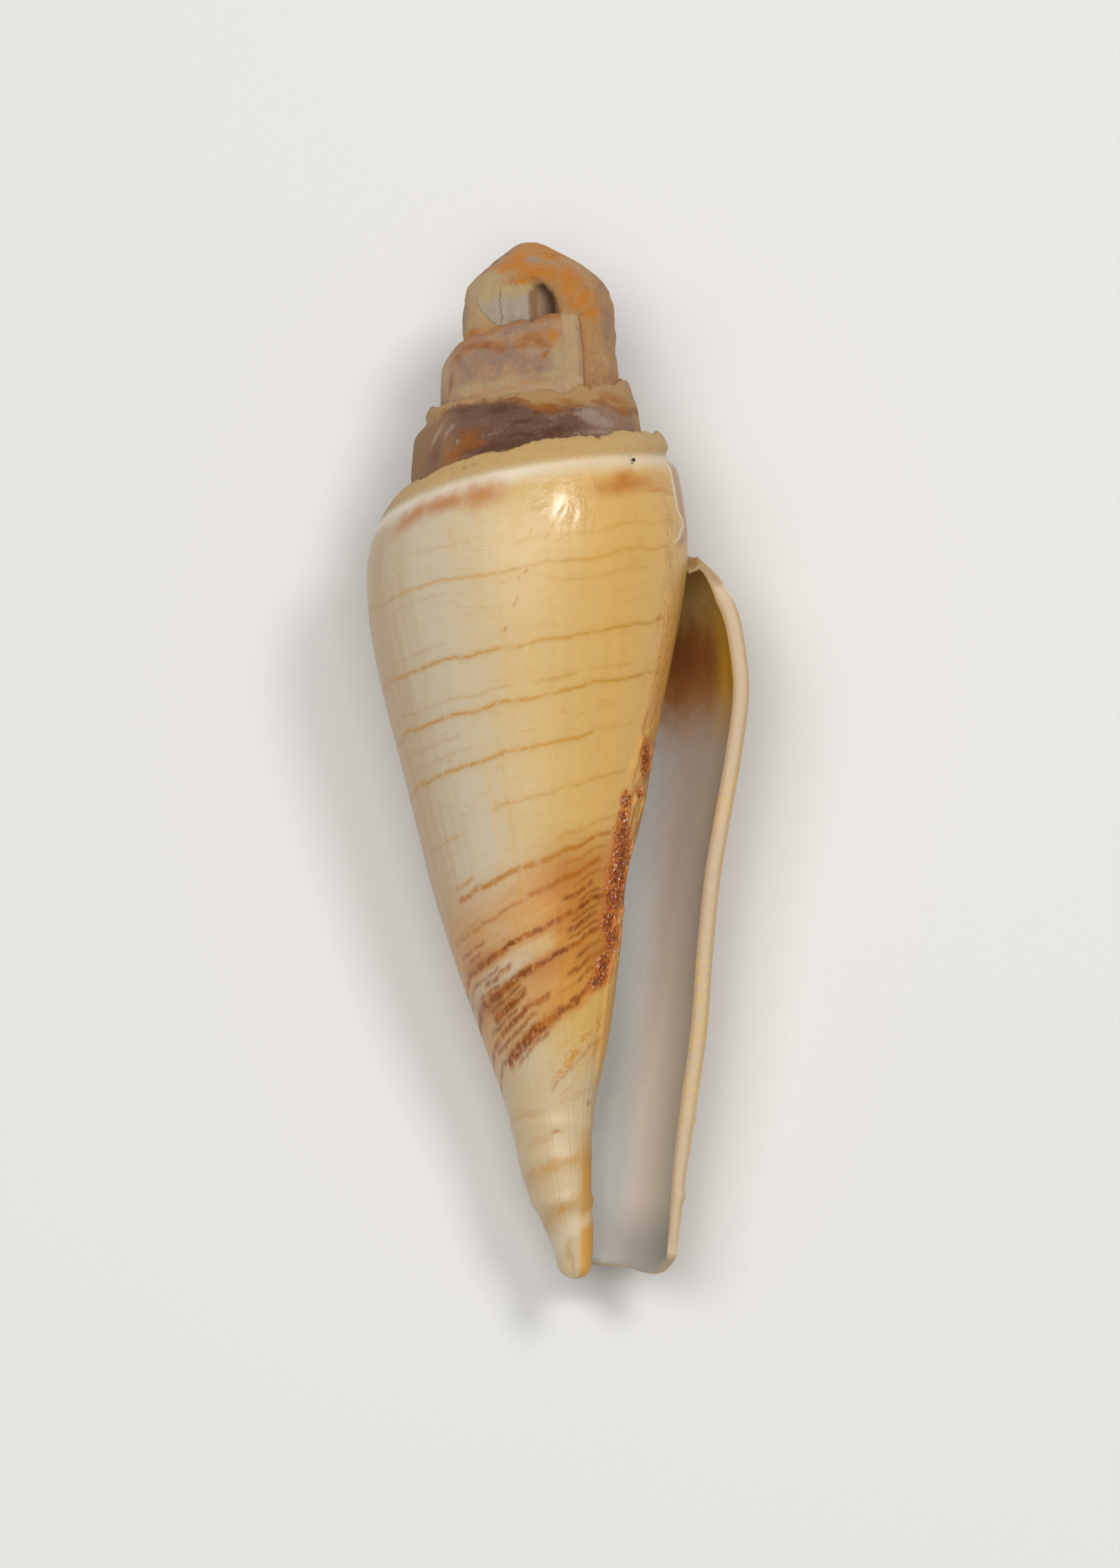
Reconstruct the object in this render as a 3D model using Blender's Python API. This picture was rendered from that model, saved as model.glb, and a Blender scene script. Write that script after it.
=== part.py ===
"""Rayed cone shell with a stepped, worn spire, lying on its back with the aperture up.

The shell is one closed solid. Its outer face is one long band that winds down the coiling
axis from the apex to the lip, and the last part of the whorl is hollow behind the lip.

Lengths are in millimetres until the mesh is made. A height is measured from the apex along
the coiling axis. A growth angle is in degrees, 0 at the lip and negative towards the apex.
"""
import math

import bmesh
import bpy
import numpy as np
from mathutils import Matrix

MILLIMETRE = 0.001

# The shell along its axis, and the way the lip points round it (0 is towards the viewer)
LENGTH = 70.1
LIP_DIRECTION = 86.0

# How finely the band is cut
COLUMNS_PER_TURN = 40
TURNS = 4.8
BAND_FRACTIONS = (0.05, 0.13, 0.24, 0.38, 0.54, 0.70, 0.85, 1.0)
BODY_ROWS = 16
CAVITY_TURN = 0.35

# The crest of each whorl's collar: growth angle, height, radius
CREST = (
    (-1026, 5.2, 5.3),
    (-900, 7.25, 5.4),
    (-810, 8.4, 5.8),
    (-720, 9.75, 6.3),
    (-630, 10.85, 6.9),
    (-540, 11.15, 7.3),
    (-450, 12.2, 7.8),
    (-360, 13.3, 8.3),
    (-270, 14.5, 9.2),
    (-180, 17.35, 9.9),
    (-90, 19.3, 10.7),
    (0, 22.25, 10.6),
    (180, 28.5, 10.1),
    (360, 35.0, 10.1),
)

# The suture lies this far below the crest. Then come the ledge behind the crest and its rounding
RAMP_DIP = 0.45
LEDGE_DIP = 0.1
CREST_ROUND = 0.25
CREST_RISE = 0.1

# Unevenness of the collar's edge: waves a radian, size, start
CREST_WAVES = ((9.3, 0.1, 0.0), (17.7, 0.08, 1.0))

# How fast each whorl swells below its crest. The groove under the collar: distance below the crest, depth
SWELL = ((-1026, 1.0), (-900, 1.2), (-720, 1.6), (-540, 2.0), (-360, 2.2), (-180, 2.2), (0, 2.4))
GROOVE = (
    (-900, 1.0, 0.0),
    (-720, 1.0, 0.1),
    (-540, 1.0, 0.45),
    (-360, 1.75, 0.5),
    (-270, 1.7, 0.15),
    (-180, 1.6, 0.0),
)
GROOVE_WIDTH = 0.5

# Full radius of the whorls at these heights, for a growth angle
HEIGHTS = (12, 17, 22, 25, 28, 31, 35, 39, 43, 48, 54, 59, 64, 68, 69.5)
FULL_RADIUS = {
    -1080: (5.55,) * len(HEIGHTS),
    -900: (6.45,) * len(HEIGHTS),
    -720: (7.15,) * len(HEIGHTS),
    -540: (8.8, 8.8, 8.6, 8.1, 7.4, 6.7, 5.7, 4.8, 3.9, 3.2, 2.3, 1.5, 1.15, 1.0, 0.8),
    -360: (9.85, 9.85, 9.85, 9.3, 8.6, 7.85, 6.85, 5.95, 4.7, 4.0, 2.9, 1.65, 1.27, 1.2, 1.0),
    -180: (12.05, 12.1, 12.2, 12.0, 11.6, 11.05, 10.2, 9.4, 8.6, 7.3, 5.45, 3.95, 2.95, 1.15, 0.7),
    0: (13.55, 13.55, 13.6, 13.7, 13.65, 13.6, 12.9, 12.0, 11.1, 10.3, 9.53, 8.6, 7.6, 6.93, 6.7),
}
ANTERIOR_EDGE = ((-480, 69.0), (-180, 69.0), (-90, 68.9), (-50, 69.2), (-15, 69.7), (0, 68.9))

# Rings that close the narrow end: how wide against the edge, how far on to the tip
TIP_RINGS = ((0.8, 0.45), (0.45, 0.85))

# The worn cap over the first whorls, and the broken window in its front
CAP_RADIUS = 5.1
CAP_LEAN = 0.5
CAP_DOME = ((0, 0), (0.6, 0.31), (1.2, 0.5), (1.8, 0.66), (2.4, 0.79), (3.0, 0.9), (3.6, 0.95), (4.7, 1.0))
CAP_SUTURE = ((-1368, 0.0), (-1296, 1.1), (-1206, 2.5), (-1116, 3.9), (-1026, 5.65))
CAP_CREST_SHARE = 0.02
RIM_START = -1030
WINDOW_SIDES = (-48, 22)
WINDOW_RIGHT_EDGE = 9
WINDOW_HEIGHTS = (2.9, 6.4)
WINDOW_EDGE = 0.35
WINDOW_DEPTH = 0.75

# The wall round the aperture
WALL = 1.1
WALL_AT_END = 0.65
WALL_THINS_FROM = 58
NARROWEST_WALL = 0.45
WALL_SHARE_OF_GAP = 0.35
LEAST_GAP = 0.2
CEILING_WALL = 0.4
CEILING_ROWS = 3

# How the shell lies: spire tipped up, in degrees, and worn to a small flat underneath
REST_PITCH = 5.0
FLAT_DEPTH = 0.35

SHELL_COLOR = (0.80, 0.62, 0.36, 1.0)
SHELL_ROUGHNESS = 0.3
SHARP_ANGLE = 35

# Corners nearer than this, in metres, are one corner
JOIN_DISTANCE = 1e-6

# Distance in millimetres over which a slope is measured
SLOPE_STEP = 0.1

COLUMNS = round(COLUMNS_PER_TURN * TURNS)
BAND_ROWS = len(BAND_FRACTIONS) + 3
CAVITY_COLUMNS = round(COLUMNS_PER_TURN * CAVITY_TURN)
LAST_WHORL = COLUMNS - COLUMNS_PER_TURN


def smooth(stations, values, at):
    """Cubic curve through the values, with the slope at a station set by its neighbours."""
    stations = np.asarray(stations, float)
    values = np.asarray(values, float)
    at = np.clip(at, stations[0], stations[-1])
    slopes = np.gradient(values, stations, axis=0)
    low = np.clip(np.searchsorted(stations, at, side="right") - 1, 0, len(stations) - 2)
    gap = stations[low + 1] - stations[low]
    t = (at - stations[low]) / gap
    spread = np.shape(at) + (1,) * (values.ndim - 1)
    t, gap = np.reshape(t, spread), np.reshape(gap, spread)
    start = values[low] * (1 + 2 * t) * (1 - t) ** 2
    end = values[low + 1] * t**2 * (3 - 2 * t)
    bend = slopes[low] * t * (1 - t) ** 2 - slopes[low + 1] * t**2 * (1 - t)
    return start + end + gap * bend


def from_table(table, angle, column=1):
    """Reads one column of a table of stations at the given growth angles."""
    rows = np.asarray(table, float)
    return smooth(rows[:, 0], rows[:, column], angle)


def ramp(low, high, value):
    """0 below low, 1 above high, and an even S between them."""
    t = np.clip((value - low) / (high - low), 0, 1)
    return t * t * (3 - 2 * t)


def full_radius(angle, height):
    """Radius of the wall well below its collar. Angle is a column of the grid of heights."""
    angles = sorted(FULL_RADIUS)
    outlines = np.array([smooth(HEIGHTS, FULL_RADIUS[a], height) for a in angles])
    weights = smooth(angles, np.eye(len(angles)), angle[:, 0])
    return np.einsum("cs,scr->cr", weights, outlines)


def crest_jag(angle):
    """Small unevenness of the collar's edge."""
    turn = np.radians(angle)
    return sum(size * np.sin(waves * turn + start) for waves, size, start in CREST_WAVES)


def whorl_radius(angle, height):
    """Outer radius of a whorl with a collar: it swells from the crest to its full radius."""
    below = np.maximum(height - from_table(CREST, angle), 0)
    crest = from_table(CREST, angle, 2)
    full = full_radius(angle, height)
    top = full_radius(angle, np.broadcast_to(from_table(CREST, angle), height.shape))
    off_groove = (below - from_table(GROOVE, angle)) / GROOVE_WIDTH
    groove = from_table(GROOVE, angle, 2) * np.exp(-(off_groove**2))
    return full - (top - crest) * np.exp(-below / from_table(SWELL, angle)) - groove


def cap_radius(angle, height):
    """Radius of the worn cap, with the recess that the broken window leaves in its front."""
    direction = (LIP_DIRECTION - angle + 180) % 360 - 180
    side = CAP_RADIUS + CAP_LEAN * np.sin(np.radians(direction))
    left, right = WINDOW_SIDES
    top, bottom = WINDOW_HEIGHTS
    across = ramp(left, right, direction) * (1 - ramp(right, right + WINDOW_RIGHT_EDGE, direction))
    below_top = ramp(top - WINDOW_EDGE, top + WINDOW_EDGE, height)
    along = below_top * (1 - ramp(bottom - WINDOW_EDGE, bottom + WINDOW_EDGE, height))
    return side * from_table(CAP_DOME, height) - WINDOW_DEPTH * across * along


def suture_height(angle):
    """Height where a whorl is joined to the one before it."""
    below_crest = from_table(CREST, angle) + RAMP_DIP
    return np.where(angle < RIM_START, from_table(CAP_SUTURE, angle), below_crest)


def outer_radius(angle, height):
    """Radius of the outer face: the worn cap first, and whorls with collars after it."""
    return np.where(angle < RIM_START, cap_radius(angle, height), whorl_radius(angle, height))


def outer_grid(angle):
    """Height and radius of the outer face, one row of the grid for each growth angle."""
    on_cap = angle < RIM_START
    top = suture_height(angle)
    bottom = suture_height(angle + 360)
    crest = from_table(CREST, angle) + crest_jag(angle)
    crest = np.where(on_cap, top + CAP_CREST_SHARE * (bottom - top), crest)
    wall = crest + (bottom - crest) * np.array(BAND_FRACTIONS)
    end = from_table(ANTERIOR_EDGE, angle)
    ceiling = bottom + CEILING_WALL
    body = ceiling + (end - ceiling) * np.arange(BODY_ROWS) / (BODY_ROWS - 1)
    joint = outer_radius(angle - 360, top)
    edge = outer_radius(angle, crest)
    dip = np.where(on_cap, (top + crest) / 2, top + LEDGE_DIP)
    inside = np.where(on_cap, crest, crest + CREST_RISE)
    heights = np.hstack([top, dip, inside, crest, wall, body])
    radii = outer_radius(angle, heights)
    radii[:, 0:1] = joint
    radii[:, 1:2] = np.where(on_cap, cap_radius(angle, dip), (joint + edge) / 2)
    radii[:, 2:3] = np.where(on_cap, cap_radius(angle, inside), edge - CREST_ROUND)
    return heights, radii


def inner_grid(angle, heights, floor_radius):
    """Height and radius of the cavity's outer side, set in from the outer face by the wall."""
    crest = under_crest(heights)
    outside = np.maximum(heights, crest)
    outside[:, :CEILING_ROWS] = crest
    ahead = outer_radius(angle, outside + SLOPE_STEP)
    slope = (ahead - outer_radius(angle, outside)) / SLOPE_STEP
    lean = np.sqrt(1 + slope**2)
    room = outer_radius(angle, outside) - floor_radius(outside)
    wall = WALL + (WALL_AT_END - WALL) * ramp(WALL_THINS_FROM, LENGTH, outside)
    wall = np.minimum(wall, np.maximum(NARROWEST_WALL, WALL_SHARE_OF_GAP * room))
    inner = outside + wall * slope / lean
    inner[:, -1] = heights[:, -1]
    least = floor_radius(inner) + LEAST_GAP
    radii = np.maximum(outer_radius(angle, outside) - wall / lean, least)
    share = np.arange(CEILING_ROWS) / CEILING_ROWS
    start = suture_height(angle) + CEILING_WALL
    inner[:, :CEILING_ROWS] = start + (under_crest(inner) - start) * share
    floor = floor_radius(start)
    radii[:, :CEILING_ROWS] = floor + (under_crest(radii) - floor) * share
    return inner, radii


def under_crest(grid):
    """The grid's column under the crest, where the ceiling meets the outer wall."""
    return grid[:, CEILING_ROWS : CEILING_ROWS + 1]


def to_points(angle, heights, radii):
    """Grid of points in millimetres: X to the lip's side, Y up the spire, Z to the viewer."""
    direction = np.radians(LIP_DIRECTION - angle)
    return np.stack([radii * np.sin(direction), -heights, radii * np.cos(direction)], axis=-1)


def quads(points):
    """Four corners of every cell of a grid of points."""
    return [
        np.stack([points[:-1, :-1], points[:-1, 1:], points[1:, 1:], points[1:, :-1]], axis=2)
        .reshape(-1, 4, 3)
    ]


def strip(first, second):
    """Cells between two rows of points of the same length."""
    return quads(np.stack([first, second]))


def bridge(first, second):
    """Triangles between two rows of unlike lengths, always stepping on along the axis."""
    a, b, faces = 0, 0, []
    while a < len(first) - 1 or b < len(second) - 1:
        first_is_done = a == len(first) - 1
        second_is_done = b == len(second) - 1
        step_first = second_is_done or (not first_is_done and first[a + 1][1] > second[b + 1][1])
        ahead = first[a + 1] if step_first else second[b + 1]
        faces.append(np.array([first[a], second[b], ahead]))
        a, b = (a + 1, b) if step_first else (a, b + 1)
    return [np.array(faces)]


def anterior_tip(edge):
    """Closes the narrow end: the edge shrinks in rings to one point on the axis."""
    tip = np.array([0.0, -LENGTH, 0.0])
    loop = np.vstack([edge, edge[:1]])
    rings = [loop]
    for across, along in TIP_RINGS:
        ring = loop * (across, 0, across)
        ring[:, 1] = loop[:, 1] + (tip[1] - loop[:, 1]) * along
        rings.append(ring)
    rings.append(np.broadcast_to(tip, loop.shape))
    return quads(np.stack(rings))


def shell_faces():
    """Every face of the shell, as lists of corner points in millimetres."""
    angle = (np.arange(COLUMNS + 1) - COLUMNS)[:, None] * 360.0 / COLUMNS_PER_TURN
    heights, radii = outer_grid(angle)
    outer = to_points(angle, heights, radii)
    outer[COLUMNS_PER_TURN:, 0] = outer[: COLUMNS + 1 - COLUMNS_PER_TURN, BAND_ROWS]
    outer[:COLUMNS_PER_TURN, 0] = 0
    outer[0] = 0
    mouth = slice(COLUMNS - CAVITY_COLUMNS, COLUMNS + 1)
    pillar = slice(LAST_WHORL - CAVITY_COLUMNS, LAST_WHORL + 1)
    inner_heights, inner_radii = inner_grid(
        angle[mouth], heights[mouth], lambda height: outer_radius(angle[pillar], height)
    )
    inner = to_points(angle[mouth], inner_heights, inner_radii)
    inner[:, 0] = outer[pillar, BAND_ROWS + 1]
    faces = quads(outer[:, : BAND_ROWS + 1])
    faces += quads(outer[LAST_WHORL:, BAND_ROWS:])
    faces += quads(outer[pillar, BAND_ROWS + 1 :])
    faces += quads(inner)
    faces += strip(outer[-1], inner[-1])
    faces += strip(outer[mouth, -1], inner[:, -1])
    faces += bridge(inner[0], outer[pillar.start, BAND_ROWS + 1 :])
    turn = outer[pillar.start : mouth.start + 1, -1]
    faces += anterior_tip(np.vstack([turn, inner[:1, -1]]))
    return faces


def build_mesh(faces):
    """One closed mesh from the faces: equal corners are joined and the faces turned outward."""
    bm = bmesh.new()
    for block in faces:
        for corners in block * MILLIMETRE:
            bm.faces.new([bm.verts.new(corner) for corner in corners])
    bmesh.ops.remove_doubles(bm, verts=bm.verts, dist=JOIN_DISTANCE)
    bmesh.ops.recalc_face_normals(bm, faces=bm.faces)
    return bm


def lay_down(bm):
    """Turns the shell to the way it lies, wears the small flat and puts the flat on the ground."""
    bm.transform(Matrix.Rotation(math.radians(REST_PITCH), 4, "X"))
    lowest = min(vert.co.z for vert in bm.verts) + FLAT_DEPTH * MILLIMETRE
    bmesh.ops.bisect_plane(
        bm,
        geom=bm.verts[:] + bm.edges[:] + bm.faces[:],
        plane_co=(0, 0, lowest),
        plane_no=(0, 0, -1),
        clear_outer=True,
    )
    bmesh.ops.holes_fill(bm, edges=[edge for edge in bm.edges if edge.is_boundary], sides=0)
    xs = [vert.co.x for vert in bm.verts]
    ys = [vert.co.y for vert in bm.verts]
    middle = ((min(xs) + max(xs)) / 2, (min(ys) + max(ys)) / 2)
    bmesh.ops.translate(bm, verts=bm.verts, vec=(-middle[0], -middle[1], -lowest))


def shell_material():
    """Plain stand-in for the glossy ochre of the shell."""
    material = bpy.data.materials.new("shell_ochre")
    material.use_nodes = True
    surface = material.node_tree.nodes["Principled BSDF"]
    surface.inputs["Base Color"].default_value = SHELL_COLOR
    surface.inputs["Roughness"].default_value = SHELL_ROUGHNESS
    surface.inputs["Metallic"].default_value = 0.0
    return material


def main():
    """Clears the scene and builds the shell in a collection of its own."""
    for old in list(bpy.data.objects):
        bpy.data.objects.remove(old, do_unlink=True)
    bm = build_mesh(shell_faces())
    lay_down(bm)
    mesh = bpy.data.meshes.new("shell")
    bm.to_mesh(mesh)
    bm.free()
    mesh.materials.append(shell_material())
    mesh.shade_smooth()
    mesh.set_sharp_from_angle(angle=math.radians(SHARP_ANGLE))
    collection = bpy.data.collections.new("rayed_cone_shell")
    bpy.context.scene.collection.children.link(collection)
    collection.objects.link(bpy.data.objects.new("shell", mesh))


main()
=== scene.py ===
"""Looks of the rayed cone shell: its fine surface and markings, in a plain studio, seen from above.

Lengths are in millimetres and angles in degrees until a mesh is made. A height is measured from the
apex down the coiling axis. A growth angle winds round that axis: 0 at the lip, negative towards the
apex. A direction is the same turn as the viewer sees it: 0 faces the viewer, 90 is the lip's side.
"""
import logging
import math
from dataclasses import dataclass, field
from enum import Enum

import bmesh
import bpy
import numpy as np
from mathutils import Matrix, Vector


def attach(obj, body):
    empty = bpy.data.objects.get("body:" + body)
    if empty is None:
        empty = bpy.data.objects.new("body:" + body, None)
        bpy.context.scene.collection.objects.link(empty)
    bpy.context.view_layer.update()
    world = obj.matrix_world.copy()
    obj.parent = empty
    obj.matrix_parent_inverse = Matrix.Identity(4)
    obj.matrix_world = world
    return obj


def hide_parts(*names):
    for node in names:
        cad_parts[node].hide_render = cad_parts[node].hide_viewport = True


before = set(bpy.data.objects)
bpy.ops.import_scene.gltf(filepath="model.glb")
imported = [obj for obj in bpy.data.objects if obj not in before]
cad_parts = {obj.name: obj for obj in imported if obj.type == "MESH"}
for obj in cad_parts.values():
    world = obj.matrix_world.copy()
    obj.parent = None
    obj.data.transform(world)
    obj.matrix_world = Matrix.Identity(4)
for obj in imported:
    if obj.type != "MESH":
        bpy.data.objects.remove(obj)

LOG = logging.getLogger("rayed_cone_shell")
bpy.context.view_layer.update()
MILLIMETRE = 0.001
FULL_TURN = 360.0
# How far round the middle of the last whorl one millimetre goes.
DEGREES_PER_MM = 5.6
Array = np.ndarray


def smooth(stations: Array, values: Array, at: Array) -> Array:
    """Cubic curve through the values, with the slope at a station set by its neighbours.

    Args:
        stations: Where the values are given, in rising order.
        values: One value, or one row of values, for each station.
        at: Where the curve is read.

    Returns:
        The curve at those places.
    """
    stations = np.asarray(stations, float)
    values = np.asarray(values, float)
    at = np.clip(at, stations[0], stations[-1])
    slopes = np.gradient(values, stations, axis=0)
    low = np.clip(np.searchsorted(stations, at, side="right") - 1, 0, len(stations) - 2)
    gap = stations[low + 1] - stations[low]
    t = (at - stations[low]) / gap
    spread = np.shape(at) + (1,) * (values.ndim - 1)
    t, gap = np.reshape(t, spread), np.reshape(gap, spread)
    start = values[low] * (1 + 2 * t) * (1 - t) ** 2
    end = values[low + 1] * t**2 * (3 - 2 * t)
    bend = slopes[low] * t * (1 - t) ** 2 - slopes[low + 1] * t**2 * (1 - t)
    return start + end + gap * bend


def ramp(low: float | Array, high: float | Array, value: Array) -> Array:
    """0 below low, 1 above high, and the S curve 3t2 - 2t3 between them."""
    t = np.clip((value - low) / (high - low), 0, 1)
    return t * t * (3 - 2 * t)


def bump(value: Array, middle: float | Array, width: float | Array) -> Array:
    """Bell curve: 1 at the middle, and 1/e at one width from it."""
    return np.exp(-(((value - middle) / width) ** 2))


def between(value: Array, low: float | Array, high: float | Array, edge: float) -> Array:
    """1 from low to high, with an S curve as wide as edge at both ends."""
    return ramp(low - edge / 2, low + edge / 2, value) * (1 - ramp(high - edge / 2, high + edge / 2, value))


def in_ellipse(x: Array, height: Array, row: tuple[float, ...]) -> tuple[Array, Array]:
    """Places of points along and beside an ellipse's long axis, each in half sizes, so the outline is at 1.

    Args:
        x: Places across the shell's axis.
        height: Heights down it.
        row: The ellipse's place across the axis, its height, its two half sizes, and its tilt in degrees.

    Returns:
        The two coordinates of every point.
    """
    across, down, long_side, short_side, tilt = row
    c, s = math.cos(math.radians(tilt)), math.sin(math.radians(tilt))
    along = (x - across) * c - (height - down) * s
    beside = (x - across) * s + (height - down) * c
    return along / long_side, beside / short_side


@dataclass(frozen=True)
class Stations:
    """A table with stations in its first column, read along a smooth curve."""

    rows: tuple[tuple[float, ...], ...]

    def at(self, where: Array, column: int = 1) -> Array:
        """Reads one column of the table at these places."""
        table = np.asarray(self.rows, float)
        return smooth(table[:, 0], table[:, column], where)


@dataclass(frozen=True)
class Wander:
    """A field of smooth random values that is the same on every run."""

    seed: int
    cells: int = 64

    def at(self, x: Array, y: Array) -> Array:
        """Random values at the corners of the unit cell round each point, blended by S curves.

        Args:
            x: First coordinate, in cells.
            y: Second coordinate, in cells.

        Returns:
            Values from -1 to 1.
        """
        lattice = np.random.default_rng(self.seed).uniform(-1, 1, (self.cells, self.cells))
        x, y = np.broadcast_arrays(x, y)
        left, low = np.floor(x).astype(int), np.floor(y).astype(int)
        u, v = ramp(0, 1, x - left), ramp(0, 1, y - low)

        def corner(i: int, j: int) -> Array:
            """The random value at one corner of each point's cell."""
            return lattice[(left + i) % self.cells, (low + j) % self.cells]

        near = corner(0, 0) * (1 - u) + corner(1, 0) * u
        far = corner(0, 1) * (1 - u) + corner(1, 1) * u
        return near * (1 - v) + far * v

    def rough(self, x: Array, y: Array, octaves: int = 3) -> Array:
        """Sum of copies of the field, each twice as fine and half as strong as the one before."""
        return sum(self.at(x * 2**k + 7 * k, y * 2**k + 3 * k) / 2**k for k in range(octaves))


@dataclass(frozen=True)
class Coil:
    """The shell's main form: a cap, then whorls whose collars step down the spire to the lip.

    These are the sizes of the solid that the frame carries, so the fine surface lies on it.
    """

    length: float = 70.1
    lip_direction: float = 86.0
    rim_start: float = -1030.0
    crest: Stations = Stations(
        (
            (-1026, 5.2, 5.3), (-900, 7.25, 5.4), (-810, 8.4, 5.8), (-720, 9.75, 6.3), (-630, 10.85, 6.9),
            (-540, 11.15, 7.3), (-450, 12.2, 7.8), (-360, 13.3, 8.3), (-270, 14.5, 9.2), (-180, 17.35, 9.9),
            (-90, 19.3, 10.7), (0, 22.25, 10.6), (180, 28.5, 10.1), (360, 35.0, 10.1),
        )
    )
    swell: Stations = Stations(
        ((-1026, 1.0), (-900, 1.2), (-720, 1.6), (-540, 2.0), (-360, 2.2), (-180, 2.2), (0, 2.4))
    )
    groove: Stations = Stations(
        (
            (-900, 1.0, 0.0), (-720, 1.0, 0.1), (-540, 1.0, 0.45), (-360, 1.75, 0.5), (-270, 1.7, 0.15),
            (-180, 1.6, 0.0),
        )
    )
    groove_width: float = 0.5
    heights: tuple[float, ...] = (12, 17, 22, 25, 28, 31, 35, 39, 43, 48, 54, 59, 64, 68, 69.5)
    outlines: tuple[tuple[float, tuple[float, ...]], ...] = (
        (-1080, (5.55,) * 15),
        (-900, (6.45,) * 15),
        (-720, (7.15,) * 15),
        (-540, (8.8, 8.8, 8.6, 8.1, 7.4, 6.7, 5.7, 4.8, 3.9, 3.2, 2.3, 1.5, 1.15, 1.0, 0.8)),
        (-360, (9.85, 9.85, 9.85, 9.3, 8.6, 7.85, 6.85, 5.95, 4.7, 4.0, 2.9, 1.65, 1.27, 1.2, 1.0)),
        (-180, (12.05, 12.1, 12.2, 12.0, 11.6, 11.05, 10.2, 9.4, 8.6, 7.3, 5.45, 3.95, 2.95, 1.15, 0.7)),
        (0, (13.55, 13.55, 13.6, 13.7, 13.65, 13.6, 12.9, 12.0, 11.1, 10.3, 9.53, 8.6, 7.6, 6.93, 6.7)),
    )
    anterior_edge: Stations = Stations(
        ((-480, 69.0), (-180, 69.0), (-90, 68.9), (-50, 69.2), (-15, 69.7), (0, 68.9))
    )
    cap_side: float = 5.1
    cap_lean: float = 0.5
    cap_dome: Stations = Stations(
        (
            (0, 0), (0.04, 0.08), (0.14, 0.15), (0.32, 0.225), (0.6, 0.31), (1.2, 0.5), (1.8, 0.66),
            (2.4, 0.79), (3.0, 0.9), (3.6, 0.95), (4.7, 1.0),
        )
    )
    cap_suture: Stations = Stations(((-1368, 0.0), (-1296, 1.1), (-1206, 2.5), (-1116, 3.9), (-1026, 5.65)))
    ramp_dip: float = 0.45

    def direction(self, angle: Array) -> Array:
        """Direction of a growth angle, from -180 to 180."""
        return (self.lip_direction - angle + 180) % FULL_TURN - 180

    def full_radius(self, angle: Array, height: Array) -> Array:
        """Radius well below the collar: the outlines at fixed growth angles, blended smoothly.

        Args:
            angle: Growth angles, one column.
            height: Heights, one row for each growth angle.

        Returns:
            A radius for each height.
        """
        stations = [row[0] for row in self.outlines]
        radii = np.array([smooth(self.heights, row[1], height) for row in self.outlines])
        weights = smooth(stations, np.eye(len(stations)), angle[:, 0])
        return np.einsum("cs,scr->cr", weights, radii)

    def whorl_radius(self, angle: Array, height: Array) -> Array:
        """Full radius, less what the collar lacks, which fades as e to the -depth, and less the groove.

        Args:
            angle: Growth angles, one column.
            height: Heights, one row for each growth angle.

        Returns:
            A radius for each height.
        """
        top = self.crest.at(angle)
        below = np.maximum(height - top, 0)
        full = self.full_radius(angle, height)
        at_top = self.full_radius(angle, np.broadcast_to(top, height.shape))
        lack = (at_top - self.crest.at(angle, 2)) * np.exp(-below / self.swell.at(angle))
        return full - lack - self.groove.at(angle, 2) * bump(below, self.groove.at(angle), self.groove_width)

    def suture(self, angle: Array) -> Array:
        """Height where a whorl is joined to the one before it."""
        on_whorls = self.crest.at(angle) + self.ramp_dip
        return np.where(angle < self.rim_start, self.cap_suture.at(angle), on_whorls)


@dataclass(frozen=True)
class CapWindow:
    """The broken window in the front of the cap, which shows the older whorl behind it."""

    top: float = 2.95
    sill: float = 6.6
    arch_height: float = 2.3
    arch_direction: float = 22.0
    arch_soft: float = 1.5
    sill_soft: float = 0.2
    top_soft: tuple[float, float] = (0.9, 0.15)
    top_sharpens: tuple[float, float] = (-14, 4)
    left_top: float = 3.87
    left_height: float = 2.33
    left_direction: float = -49.0
    left_swing: float = 24.0
    floor: Stations = Stations(
        (
            (-50, 0.0), (-38, 0.10), (-26.6, 0.24), (-25.4, 0.34), (-10, 0.36), (-0.6, 0.40), (0.8, 0.50),
            (12, 0.72), (24, 1.0),
        )
    )

    def recess(self, direction: Array, height: Array) -> Array:
        """Depth of the window: the floor's depth, inside an edge that is soft above and an arch at the right.

        The arch is a quarter of an ellipse, whose height and direction are both 0 at its top.

        Args:
            direction: Directions of the points.
            height: Their heights.

        Returns:
            A depth for each point, 0 outside the window.
        """
        rise = np.clip((height - self.top) / self.arch_height, 0, 1)
        edge = self.arch_direction * np.sqrt(1 - (1 - rise) ** 2)
        inside = 1 - ramp(edge - self.arch_soft, edge + self.arch_soft, direction)
        soft, crisp = self.top_soft
        softness = soft - (soft - crisp) * ramp(*self.top_sharpens, direction)
        below_top = ramp(self.top - softness / 2, self.top + softness / 2, height)
        above_sill = 1 - ramp(self.sill - self.sill_soft, self.sill + self.sill_soft, height)
        return self.floor.at(direction) * inside * below_top * above_sill


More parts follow.
